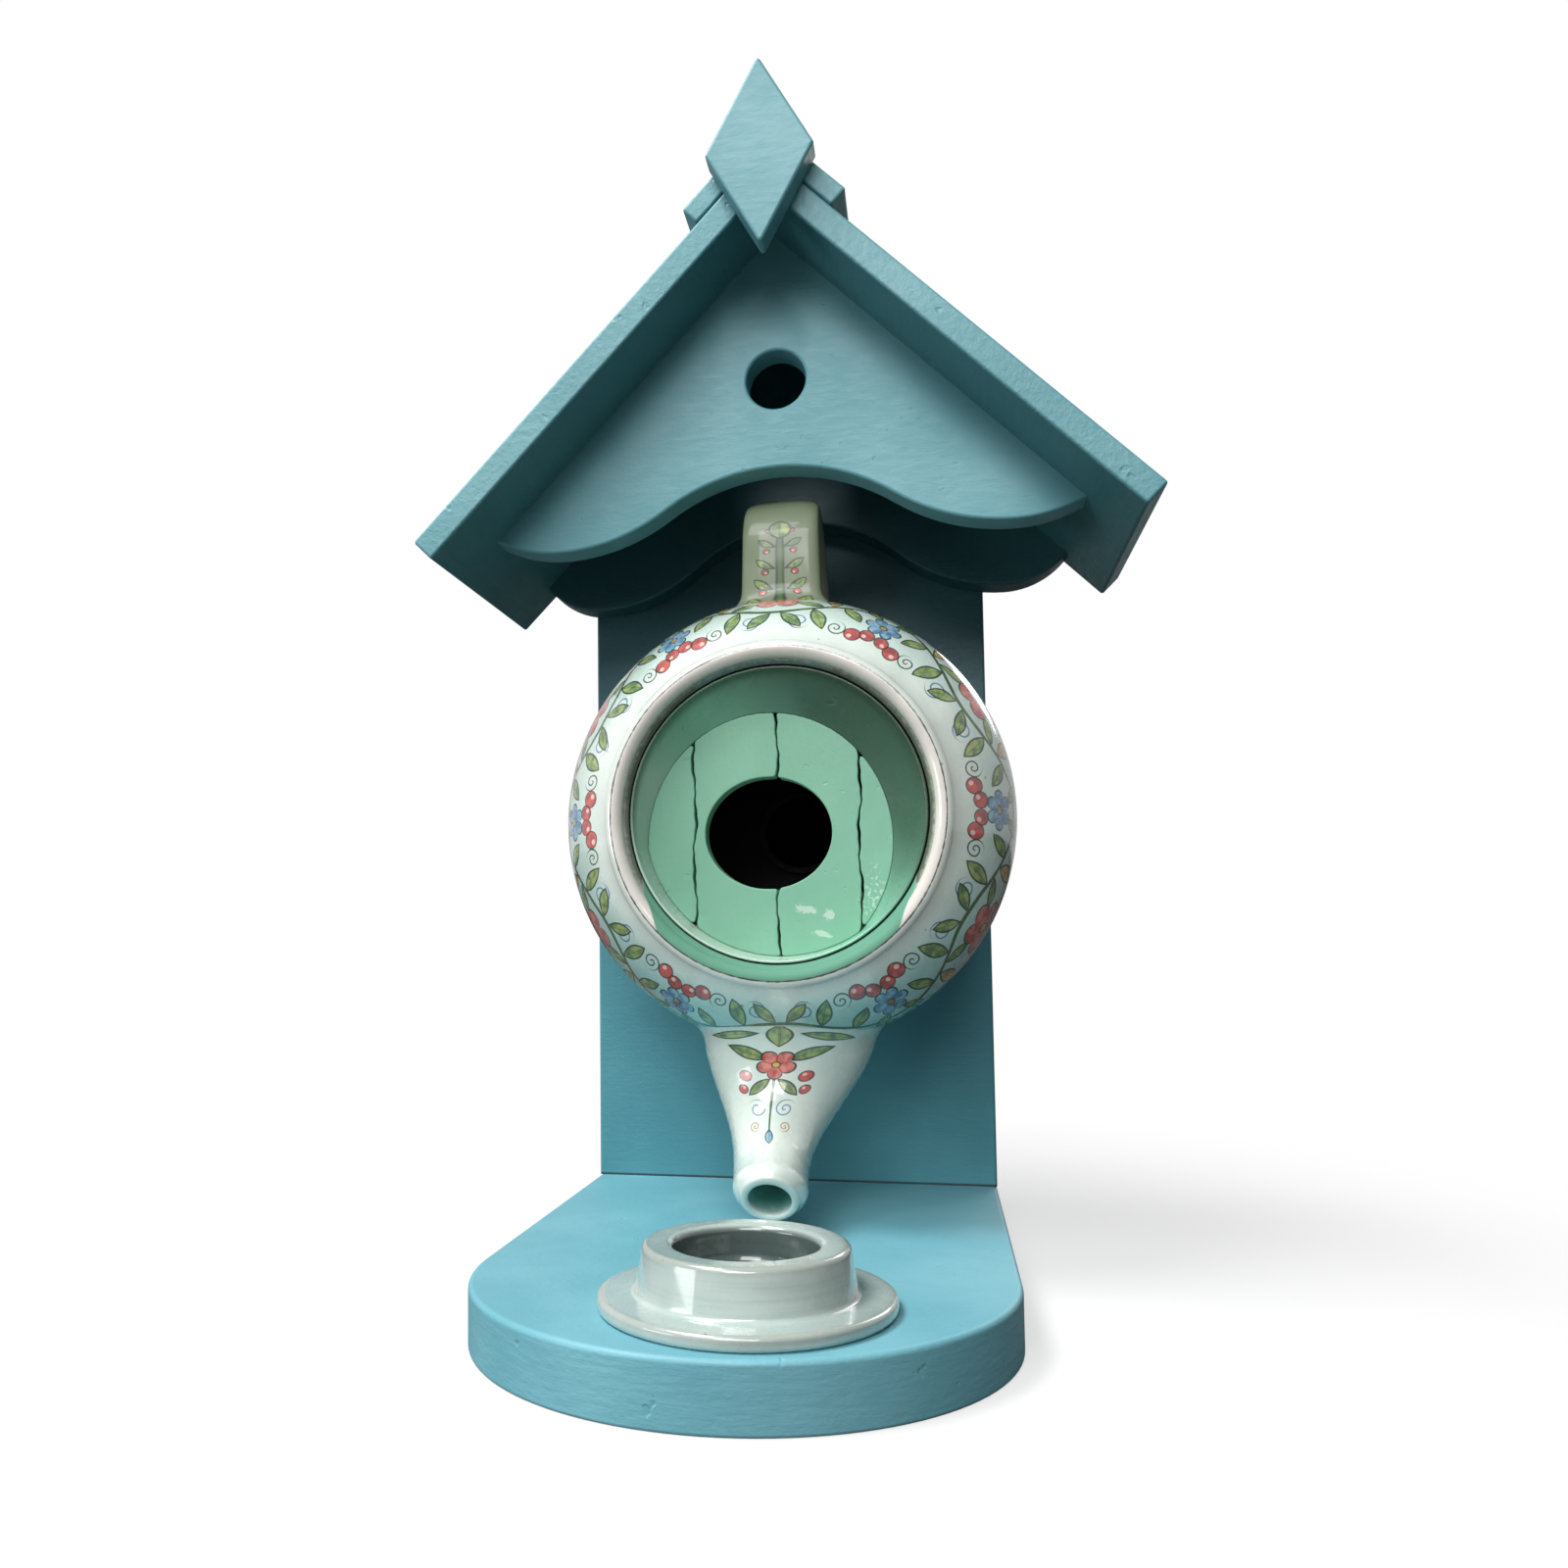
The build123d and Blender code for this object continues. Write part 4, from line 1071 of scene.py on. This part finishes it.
# %% Band of the body
CELLS_AROUND = 6
CELL = 45.5
BAND = 21.0
BAND_START = 6.8
ENLARGED = 1.3
SWING = 4.2
GREEN_BELOW = -28.2


def lower_rim(sheet, place, arc_mm):
    """1 on the inner side of the lip at its foot, where the door's green was brushed over it."""
    rise = (sheet.split(place)[2] - POT_Z) / mm
    low = sheet.fade(rise + arc_mm * 2.2, GREEN_BELOW, GREEN_BELOW - 1)
    return low * sheet.fade(arc_mm, 0.6, 0.3)


def body_bare(sheet, place):
    """Dull paint on the lip's foot, and no shine deep inside."""
    arc_mm = chart_of(sheet)[1]
    return lower_rim(sheet, place, arc_mm).high(sheet.fade(arc_mm, -6.0, -8.0))


def body_painting(sheet, place, ground):
    """The band of the body: two rows of cells, the second half a cell further round."""
    turns, arc_mm = chart_of(sheet)
    z = sheet.split(place)[2]
    low_side = sheet.fade(z, POT_Z + 10 * mm, POT_Z - 50 * mm, 0, 0.55)
    ground = sheet.mix(sheet.fade(arc_mm, 6.5, 1.5, 0, 0.9), ground, (211, 218, 211))
    washed = low_side * sheet.fade(arc_mm, 4, 10) + sheet.fade(arc_mm, 8, 16, 0, 0.3)
    ground = sheet.mix(washed.low(1), ground, (160, 206, 199))
    in_band = (arc_mm - BAND_START) / ENLARGED
    row = sheet.sum("FLOOR", in_band / BAND).high(0).low(1)
    y = in_band - (row + 0.5) * BAND
    cell = turns * CELLS_AROUND + row * 0.5
    x = abs(cell - sheet.sum("ROUND", cell)) * CELL
    art = Painting(sheet, ground, place, x, y, 0.9)
    art.curl((5.4, -7.4), 2.4, 0.6)
    art.curl((17.2, 7.4), 2.5, 3.6)
    art.curl((13.8, -7.9), 2.1, 2.4, ink=INK)
    wave = sheet.sum("COSINE", art.at((0, 0), (CELL / math.tau, 1))[0])
    art.twig(abs(art.at((0, 0))[1] + wave * SWING) * 0.9)
    art.leaf((3.6, -7.0), 6.6, 2.7, -0.75)
    art.leaf((9.4, -5.8), 7.6, 3.1, -1.15)
    art.leaf((11.0, 4.2), 7.4, 3.0, 1.75, OCHRE)
    art.leaf((15.8, -1.0), 6.6, 2.7, -0.9)
    art.leaf((13.9, 7.6), 6.4, 2.4, 0.35)
    art.leaf((20.9, 7.6), 6.2, 2.6, 1.15)
    art.leaf((6.6, 0.4), 6.0, 2.3, 2.85)
    art.leaf((19.4, 3.6), 5.4, 2.2, 2.3)
    art.berry((7.0, 7.9), 1.9)
    art.berry((10.4, 9.0), 1.7)
    art.berry((17.9, -8.4), 1.9)
    art.berry((21.0, -7.1), 1.7)
    warm = [sheet.mix(row, CORAL[i], BLUE[i]) for i in (0, 1)]
    cool = [sheet.mix(row, BLUE[i], CORAL[i]) for i in (0, 1)]
    art.blossom((0, 3.6), 5.7, 5, warm, math.pi / 2)
    art.blossom((CELL / 2, -1.9), 3.9, 6, cool)
    inside_band = sheet.fade(in_band, -0.8, -0.5) * sheet.fade(in_band, 2 * BAND + 0.3, 2 * BAND)
    colour = sheet.mix(inside_band, ground, art.colour)
    ring = abs(in_band - 2 * BAND - 1.4)
    colour = sheet.mix(sheet.fade(ring, 0.45, 0.3), colour, LEAF[1])
    edge_noise = sheet.noise(place, 1.6 * mm, 3.0, 0.6)
    at_foot = lower_rim(sheet, place, arc_mm)
    rim = sheet.mix(at_foot, (218, 214, 206), (94, 150, 126))
    colour = sheet.mix(sheet.fade(arc_mm, 0.6, 0.3), colour, rim)
    crest = edge_noise * 0.5 - abs(arc_mm - 0.35) + 0.02
    colour = sheet.mix(sheet.fade(crest, 0.0, 0.2, 0, 0.9), colour, (58, 42, 36))
    # Painted shade: olive on the lip's inner wall, 2 to 4 mm below the crest, where the throat is
    # in shade.
    throat_painted_shade = sheet.fade(arc_mm + edge_noise * 1.6, -2.2, -4.4) * (1 - at_foot)
    colour = sheet.mix(throat_painted_shade, colour, (84, 98, 80))
    # Painted shade: more than 7 mm inside the lip the colour turns near black, so the nest chamber
    # shows dark.
    return sheet.mix(sheet.fade(arc_mm, -7.0, -9.0), colour, (8, 9, 8))


print(2 * CELLS_AROUND, "cells of", CELL * ENLARGED, "mm")

# %% [markdown]
# ## Sprigs on spout and handle
# A tube's painting is mirrored about its front. The spout carries a blossom with leaves and a
# hanging bud, and turns pale blue inside, partly painted light in the bore. The handle's glaze is
# a darker olive copy of the celadon, painted shade, and half dull, with a twig that rises from its
# root.

# %% Sprigs, and the pieces glazed
def sprig(sheet, place, ground, around, paint_motifs, bore=None):
    """A painting on a tube: x runs around it from its front, y along it up to the bore."""
    turns, length = chart_of(sheet)
    art = Painting(sheet, ground, place, abs(turns * around), length, 0.6)
    paint_motifs(art)
    if bore is None:
        return art.colour
    # Inside the bore the colour turns pale blue-green, partly a glaze tint and partly painted
    # light that lifts the shade in the bore.
    return sheet.mix(sheet.fade(length, bore, bore + 4), art.colour, (176, 226, 218))


def spout_motifs(art):
    """A blossom between leaves, berries below it, tendrils, and a hanging bud."""
    x, y = art.at((0, 0))
    art.twig(x.high(abs(y - 24) - 9), 0.22)
    art.curl((3.9, 25.4), 2.5, 0.4)
    art.curl((4.6, 31.0), 1.7, 3.4, ink=OCHRE[1])
    art.leaf((5.2, 10.6), 7.6, 2.8, -0.5)
    art.leaf((3.4, 19.4), 6.4, 2.2, 0.7)
    art.leaf((7.0, 5.4), 8.2, 2.6, 0.1)
    art.leaf((0, 5.6), 6.4, 3.4, math.pi / 2)
    art.berry((6.2, 16.6), 1.35)
    art.berry((7.2, 20.0), 1.15)
    art.leaf((0, 35.2), 6.0, 2.4, math.pi / 2, BLUE)
    art.blossom((0, 13.6), 3.7, 5, CORAL, math.pi / 2)


def handle_motifs(art):
    """A rising twig with leaves in pairs and a berry over each."""
    x, y = art.at((0, 0))
    art.twig(x.high(abs(y - 15) - 12), 0.2)
    for step in range(4):
        high = 7.0 + 5.6 * step
        size = 1 - 0.12 * step
        art.leaf((3.0 * size, high + 1.2), 6.0 * size, 2.3 * size, 0.65)
        art.berry((2.1 * size, high + 4.6), 0.85 * size)
    art.leaf((0, 28.6), 5.0, 2.2, math.pi / 2)


CLAY = ((222, 233, 224), (212, 225, 216))
# A darker olive copy of the celadon for the handle: painted shade.
SHADED_OLIVE = ((134, 145, 121), (116, 130, 104))
SPOUT_AROUND = 78
HANDLE_AROUND = 58
pot_glaze = glazed("celadon_glaze", *CLAY, body_painting, bare=body_bare)
spout_glaze = glazed(
    "celadon_glaze_spout",
    *CLAY,
    lambda *of: sprig(*of, SPOUT_AROUND, spout_motifs, spout_length / mm + 3),
)
handle_glaze = glazed(
    "celadon_glaze_handle",
    *SHADED_OLIVE,
    lambda *of: sprig(*of, HANDLE_AROUND, handle_motifs),
    bare=lambda *of: 0.6,
)
wear(pot_glaze, pot_body)
wear(spout_glaze, pot_spout)
wear(handle_glaze, pot_handle)
print("nodes of the body's glaze:", len(pot_glaze.node_tree.nodes))

# %% [markdown]
# ## The dish
# It was the lid of a teapot, turned upside down: a flange, a collar with a soft rim, a well, and
# the knob that now sits in a hole of the base. It is one profile, spun about an upright axis,
# with every corner rounded as glaze rounds it. Faint rings from throwing show under the glaze,
# which is thin and warm on the edges. The well is painted dark, painted shade.

# %% Dish
dish_low, dish_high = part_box("lid_dish")
DISH_Y = (dish_low.y + dish_high.y) / 2
FLANGE = (dish_high.x - dish_low.x) / 2
COLLAR = 22.4 * mm
COLLAR_TOP = 20.8 * mm
WELL = 14.6 * mm
FLANGE_THICK = 3.2 * mm
WELL_FLOOR = 3.4 * mm
KNOB = 7 * mm
NECK = 5 * mm
NECK_LONG = 3 * mm
flange_top = base_top + FLANGE_THICK
dish_profile = rounded(
    [
        (0, base_top + WELL_FLOOR),
        (WELL, base_top + WELL_FLOOR),
        (WELL, dish_high.z),
        (COLLAR_TOP, dish_high.z),
        (COLLAR, flange_top),
        (FLANGE, flange_top),
        (FLANGE, base_top),
        (NECK, base_top),
        (NECK, base_top - NECK_LONG),
        (KNOB, base_top - NECK_LONG),
        (KNOB, dish_low.z),
        (0, dish_low.z),
    ],
    [r * mm for r in (4.0, 1.6, 1.3, 1.0, 1.1, 1.4, 0.5, 0.5, 1.5, 1.5)],
    12,
)
dish_profile = resampled(dish_profile, 1.0 * mm)
DISH_TURNS = 160
turn = angles(DISH_TURNS)
dish_grid = np.stack([
    dish_profile[:, :1] * np.cos(turn),
    DISH_Y + dish_profile[:, :1] * np.sin(turn),
    dish_profile[:, 1:] + 0 * turn,
], 2)
dish = skin("dish", dish_grid)
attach(dish, "dish")
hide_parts("lid_dish")


def dish_shades(sheet, place, ground):
    """Rings from throwing, painted shade in the well, and warm grey where two edges are thinly
    glazed.
    """
    x, y, z = sheet.split(place)
    reach = sheet.reach(x, y - DISH_Y)
    edge_noise = sheet.noise(place, 3 * mm, 2.0, 0.5) * 0.8 * mm
    rim = abs(reach - COLLAR_TOP) + abs(z - dish_high.z)
    thin = sheet.fade(rim.low(FLANGE - reach + abs(z - flange_top)) + edge_noise, 2.9 * mm, 0.5 * mm)
    thrown = sheet.noise(sheet.stretch(place, (50 * mm, 50 * mm, 1.3 * mm)), 1.0, 2.0, 0.6)
    colour = sheet.mix(sheet.fade(thrown, 0.4, 0.7, 0, 0.3), ground, (132, 156, 150))
    colour = sheet.mix(thin * 0.45, colour, (138, 136, 126))
    # Painted shade: the well turns dark.
    well = sheet.fade(reach, WELL + 0.9 * mm, WELL - 0.2 * mm)
    return sheet.mix(well * 0.95, colour, (44, 62, 58))


wear(glazed("white_glaze", (184, 198, 193), (166, 182, 177), dish_shades, 0.06), dish)
print("dish", round(2 * FLANGE / mm, 1), "mm across")

# %% [markdown]
# ## The planks
# Four planks fill the ring. Their joints aren't straight, because the wood was scored by hand,
# and all edges are worn round. Each plank starts as an outline: its left side, going up, and
# its right side, going down, as functions of the height. The outline is rounded by averaging
# along it. It is then stacked in layers that step in towards both faces.

# %% Plank outlines
plank_low, plank_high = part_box("plank_2")
ring_low, ring_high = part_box("entrance_ring")
RING_RADIUS = (ring_high.x - ring_low.x) / 2
PANEL_X = -3.2 * mm
PANEL_Z = POT_Z - 6.5 * mm
PANEL_WIDE = 31.95 * mm
PANEL_HIGH = 33.95 * mm
RING_INSIDE = RING_RADIUS - 1.65 * mm
HOLE_WIDE = 16.5 * mm
HOLE_HIGH = 14.6 * mm
HOLE_Z = POT_Z - 4 * mm
JOINTS = np.array([-38, -19.3, 2.5, 23.6, 38]) * mm
JOINT_GAP = 0.5 * mm
PLANK_ROUND = 0.3 * mm
OUTLINE_STEP = 0.3 * mm
THINNEST = 0.8 * mm
FACE_INSET = 1.6
plank_front, plank_back = plank_low.y, plank_high.y


def oval(z, centre, wide, high):
    """Half the width of an oval at height z, 0 beyond its ends."""
    return wide * np.sqrt(np.clip(1 - ((z - centre) / high) ** 2, 0, None))


def joint(number, z):
    """A joint's x: an upright line, plus a slow wave and a quick tremor, sines of the height."""
    rise = (z - PANEL_Z) / mm
    x = JOINTS[number] / mm
    wave = 0.35 * np.sin(2 * math.pi * rise / 26 + x)
    tremor = 0.17 * np.sin(rise / 1.7 + 3 * x) + 0.1 * np.sin(rise / 0.63 + x)
    return PANEL_X + JOINTS[number] + (wave + tremor) * mm


def plank_outline(number):
    """Points around one plank, in x and z, evenly spaced and rounded at the corners."""
    fine = np.linspace(PANEL_Z - PANEL_HIGH, PANEL_Z + PANEL_HIGH, 1400)
    half = oval(fine, PANEL_Z, PANEL_WIDE, PANEL_HIGH)
    circle = oval(fine, POT_Z, RING_INSIDE, RING_INSIDE)
    half_gap = JOINT_GAP / 2 * (1 + 0.5 * np.sin(fine / mm / 2.3 + number))
    left = np.maximum(joint(number, fine) + half_gap, np.maximum(PANEL_X - half, -circle))
    right = np.minimum(joint(number + 1, fine) - half_gap, np.minimum(PANEL_X + half, circle))
    hole = oval(fine, HOLE_Z, HOLE_WIDE, HOLE_HIGH)
    in_hole = hole > 0
    if number == 1:
        right = np.where(in_hole, np.minimum(right, PANEL_X - hole), right)
    if number == 2:
        left = np.where(in_hole, np.maximum(left, PANEL_X + hole), left)
    there = right - left > THINNEST
    up = np.stack([left, fine], 1)[there]
    down = np.stack([right, fine], 1)[there][::-1]
    ring = np.concatenate([up, down, up[:1]])
    length = travelled(ring)[-1]
    even = np.linspace(0, length, int(length / OUTLINE_STEP), endpoint=False)
    return averaged(placed(ring, even), np.exp(-np.linspace(-2, 2, 9) ** 2))


def slab(name, outline, front, back, radius):
    """A board from an outline: layers from the back face to the front, both edges rounded."""
    ahead = unit(np.roll(outline, -1, axis=0) - np.roll(outline, 1, axis=0))
    inward = np.stack([ahead[:, 1], -ahead[:, 0]], 1)
    inward = unit(averaged(inward, np.hanning(15)))
    bend = np.linspace(0, math.pi / 2, 6)
    inset = radius * (1 - np.sin(bend))
    depth = radius * (1 - np.cos(bend))
    face = [FACE_INSET * radius]
    insets = np.concatenate([face, inset, inset[::-1], face])
    depths = np.concatenate([[back], back - depth, (front + depth)[::-1], [front]])
    flat = outline[None] + insets[:, None, None] * inward
    grid = np.stack([flat[..., 0], depths[:, None] + 0 * flat[..., 0], flat[..., 1]], 2)
    return skin(name, grid, caps=True)


print("a plank's edges are rounded by", PLANK_ROUND / mm, "mm")

# %% Planks as meshes
planks = []
for number in range(4):
    outline = plank_outline(number)
    plank = slab(f"green_plank_{number + 1}", outline, plank_front, plank_back, PLANK_ROUND)
    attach(plank, "entrance")
    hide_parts(f"plank_{number + 1}")
    planks.append(plank)
print("planks", round((plank_back - plank_front) / mm, 1), "mm thick")

# %% [markdown]
# ## The ring
# The ring holds the planks like a lens in its frame. Inside, it opens as a funnel, from the
# panel's outline at the bottom to a full circle at the front. Every section through the pot's
# axis is the same walk: along the outside, over the thin front edge, down the funnel, and back
# past the planks. Only the distance to the panel's outline differs from angle to angle.

# %% Ring
RING_TURNS = 220
RING_FRONT = -ring_low.y
RING_BACK = -ring_high.y
GROOVE_DEEP = 0.7 * mm
GROOVE_FRONT = RING_FRONT - 3 * mm
GROOVE_BACK = RING_FRONT - 6 * mm
EDGE_ROUND = 0.35 * mm
STEP = 2.4 * mm
RING_WALL = 1.6 * mm
OPENING_WIDE = 32 * mm
OPENING_HIGH = 34 * mm
FUNNEL_EASE = 1.35
CREASE = 0.12 * mm
side_x, side_z = np.cos(angles(RING_TURNS)), np.sin(angles(RING_TURNS))


def panel_reach(inset):
    """Distance from the pot's axis to the panel's oval, or to the ring's wall if that is less.

    It solves a r^2 + 2 b r + c = 0, the oval's equation along each direction.
    """
    wide, high = OPENING_WIDE - inset, OPENING_HIGH - inset
    x, z = -PANEL_X, POT_Z - PANEL_Z
    a = (side_x / wide) ** 2 + (side_z / high) ** 2
    b = side_x * x / wide**2 + side_z * z / high**2
    c = (x / wide) ** 2 + (z / high) ** 2 - 1
    return np.minimum((np.sqrt(b * b - a * c) - b) / a, RING_RADIUS - RING_WALL - inset)


panel_edge, step_edge = panel_reach(0), panel_reach(STEP)
outer_edge, inner_edge = RING_RADIUS - EDGE_ROUND, RING_RADIUS - 2 * EDGE_ROUND
brink = RING_FRONT - EDGE_ROUND
layers = [
    (step_edge, RING_BACK),
    (RING_RADIUS, RING_BACK),
    (RING_RADIUS, GROOVE_BACK),
    (RING_RADIUS - GROOVE_DEEP, GROOVE_BACK),
    (RING_RADIUS - GROOVE_DEEP, GROOVE_FRONT),
    (RING_RADIUS, GROOVE_FRONT),
]
for bend in np.linspace(0, math.pi, 9):
    layers.append((outer_edge + EDGE_ROUND * math.cos(bend), brink + EDGE_ROUND * math.sin(bend)))
for share in np.linspace(0, 1, 16)[1:]:
    radius = inner_edge + (panel_edge - inner_edge) * share**FUNNEL_EASE
    layers.append((radius, brink - (plank_front + brink) * share))
layers += [(panel_edge, -plank_back), (step_edge, -plank_back)]
ring_rows = [
    np.stack([radius * side_x, -forward + 0 * side_x, POT_Z + radius * side_z], 1)
    for radius, forward in layers
]

# %% [markdown]
# Smooth shading rounds every corner from row to row. Two more rows between every two of the
# section keep that rounding close to the corners.

# %% Ring as a mesh
ring_grid = [ring_rows[0]]
for low_row, high_row in zip(ring_rows[:-1], ring_rows[1:]):
    gap = np.linalg.norm(high_row - low_row, axis=1).max()
    tight = min(CREASE / gap, 0.4) if gap > 5 * CREASE else 0.5
    ring_grid += [low_row + (high_row - low_row) * share for share in (tight, 1 - tight, 1)]
ring_grid = np.array(ring_grid)
green_ring_piece = skin("green_ring", ring_grid, closed=True)
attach(green_ring_piece, "entrance")
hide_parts("entrance_ring")
print("ring", round(2 * RING_RADIUS / mm, 1), "mm across")

# %% [markdown]
# ## Green paint
# The same satin paint as the boards, in a soft mint. On the planks it has been knocked: a few
# pale scuffs lie below the hole on the right, and flecks of undercoat show by the ring. A scuff
# is given by its middle, length, width and turn. The ring's funnel is painted with light and
# shade: olive painted shade at the top, on the right and at its front, and pale painted light on
# the left.

# %% Green paint
GREEN = ((132, 190, 162), (146, 202, 174), (116, 176, 148))
SCUFFS = (
    (6.2, -23.9, 2.8, 1.1, 0.25),
    (12.4, -25.4, 1.5, 1.4, 0.9),
    (10.4, -30.4, 2.3, 0.9, 0.25),
)
FLECKS = (24, -22)


def funnel_painted_light_and_shade(sheet, place, tone):
    """Painted shade of olive towards the upper right and the front, and pale painted light on the
    left.
    """
    x, y, z = sheet.split(place)
    lean = x * 0.85 + (z - POT_Z) * 0.6
    cloud = sheet.noise(place, 12 * mm, 3.0) * 8 * mm
    # Painted light: a pale tint on the left of the funnel.
    tone = sheet.mix(sheet.fade(lean + cloud, 0, -22 * mm, 0, 0.75), tone, (196, 214, 202))
    # Painted shade: olive deepening towards the upper right.
    tone = sheet.mix(sheet.fade(lean + cloud, 4 * mm, 30 * mm, 0, 0.8), tone, (36, 58, 42))
    # Painted shade at the funnel's front, over its upper part.
    front = sheet.fade(y + RING_FRONT, 4 * mm, 0.5 * mm) * sheet.fade(z - POT_Z, -20 * mm, 8 * mm)
    return sheet.mix(front * 0.7, tone, (60, 76, 60))


def knocked(sheet, place, tone):
    """Short pale scuffs, and flecks near the right edge."""
    place = sheet.stretch(place, (mm, mm, mm), place=(0, 0, POT_Z))
    ragged = sheet.noise(place, 0.9, 3.0, 0.7)
    for x, z, long, wide, turn in SCUFFS:
        own = sheet.stretch(place, (long, 1, wide), (0, turn, 0), (x, 0, z))
        across, _, up = sheet.split(own)
        off = sheet.reach(across, up) + (ragged - 0.5) * 2.6
        tone = sheet.mix(sheet.fade(off, 1.05, 0.8, 0, 0.7), tone, (206, 224, 212))
    x, _, z = sheet.split(place)
    by_edge = sheet.fade(abs(x - FLECKS[0]) + abs(z - FLECKS[1]) * 0.4, 5.5, 2.5)
    flecks = sheet.fade(sheet.noise(place, 1.0, 2.0), 0.55, 0.6) * by_edge
    return sheet.mix(flecks * 0.8, tone, (196, 222, 208))


green_ring = painted(
    "green_paint_ring", *GREEN, gloss=0.26, stroke=(3.0, 3.0, 3.0), grain=1.4, over=funnel_painted_light_and_shade
)
green_plank = painted(
    "green_paint_plank", *GREEN, gloss=0.4, stroke=(0.5, 0.5, 3.0), over=knocked
)
wear(green_plank, *planks)
wear(green_ring, green_ring_piece, "batten_top", "batten_bottom")
print("green on", len(planks) + 3, "pieces")
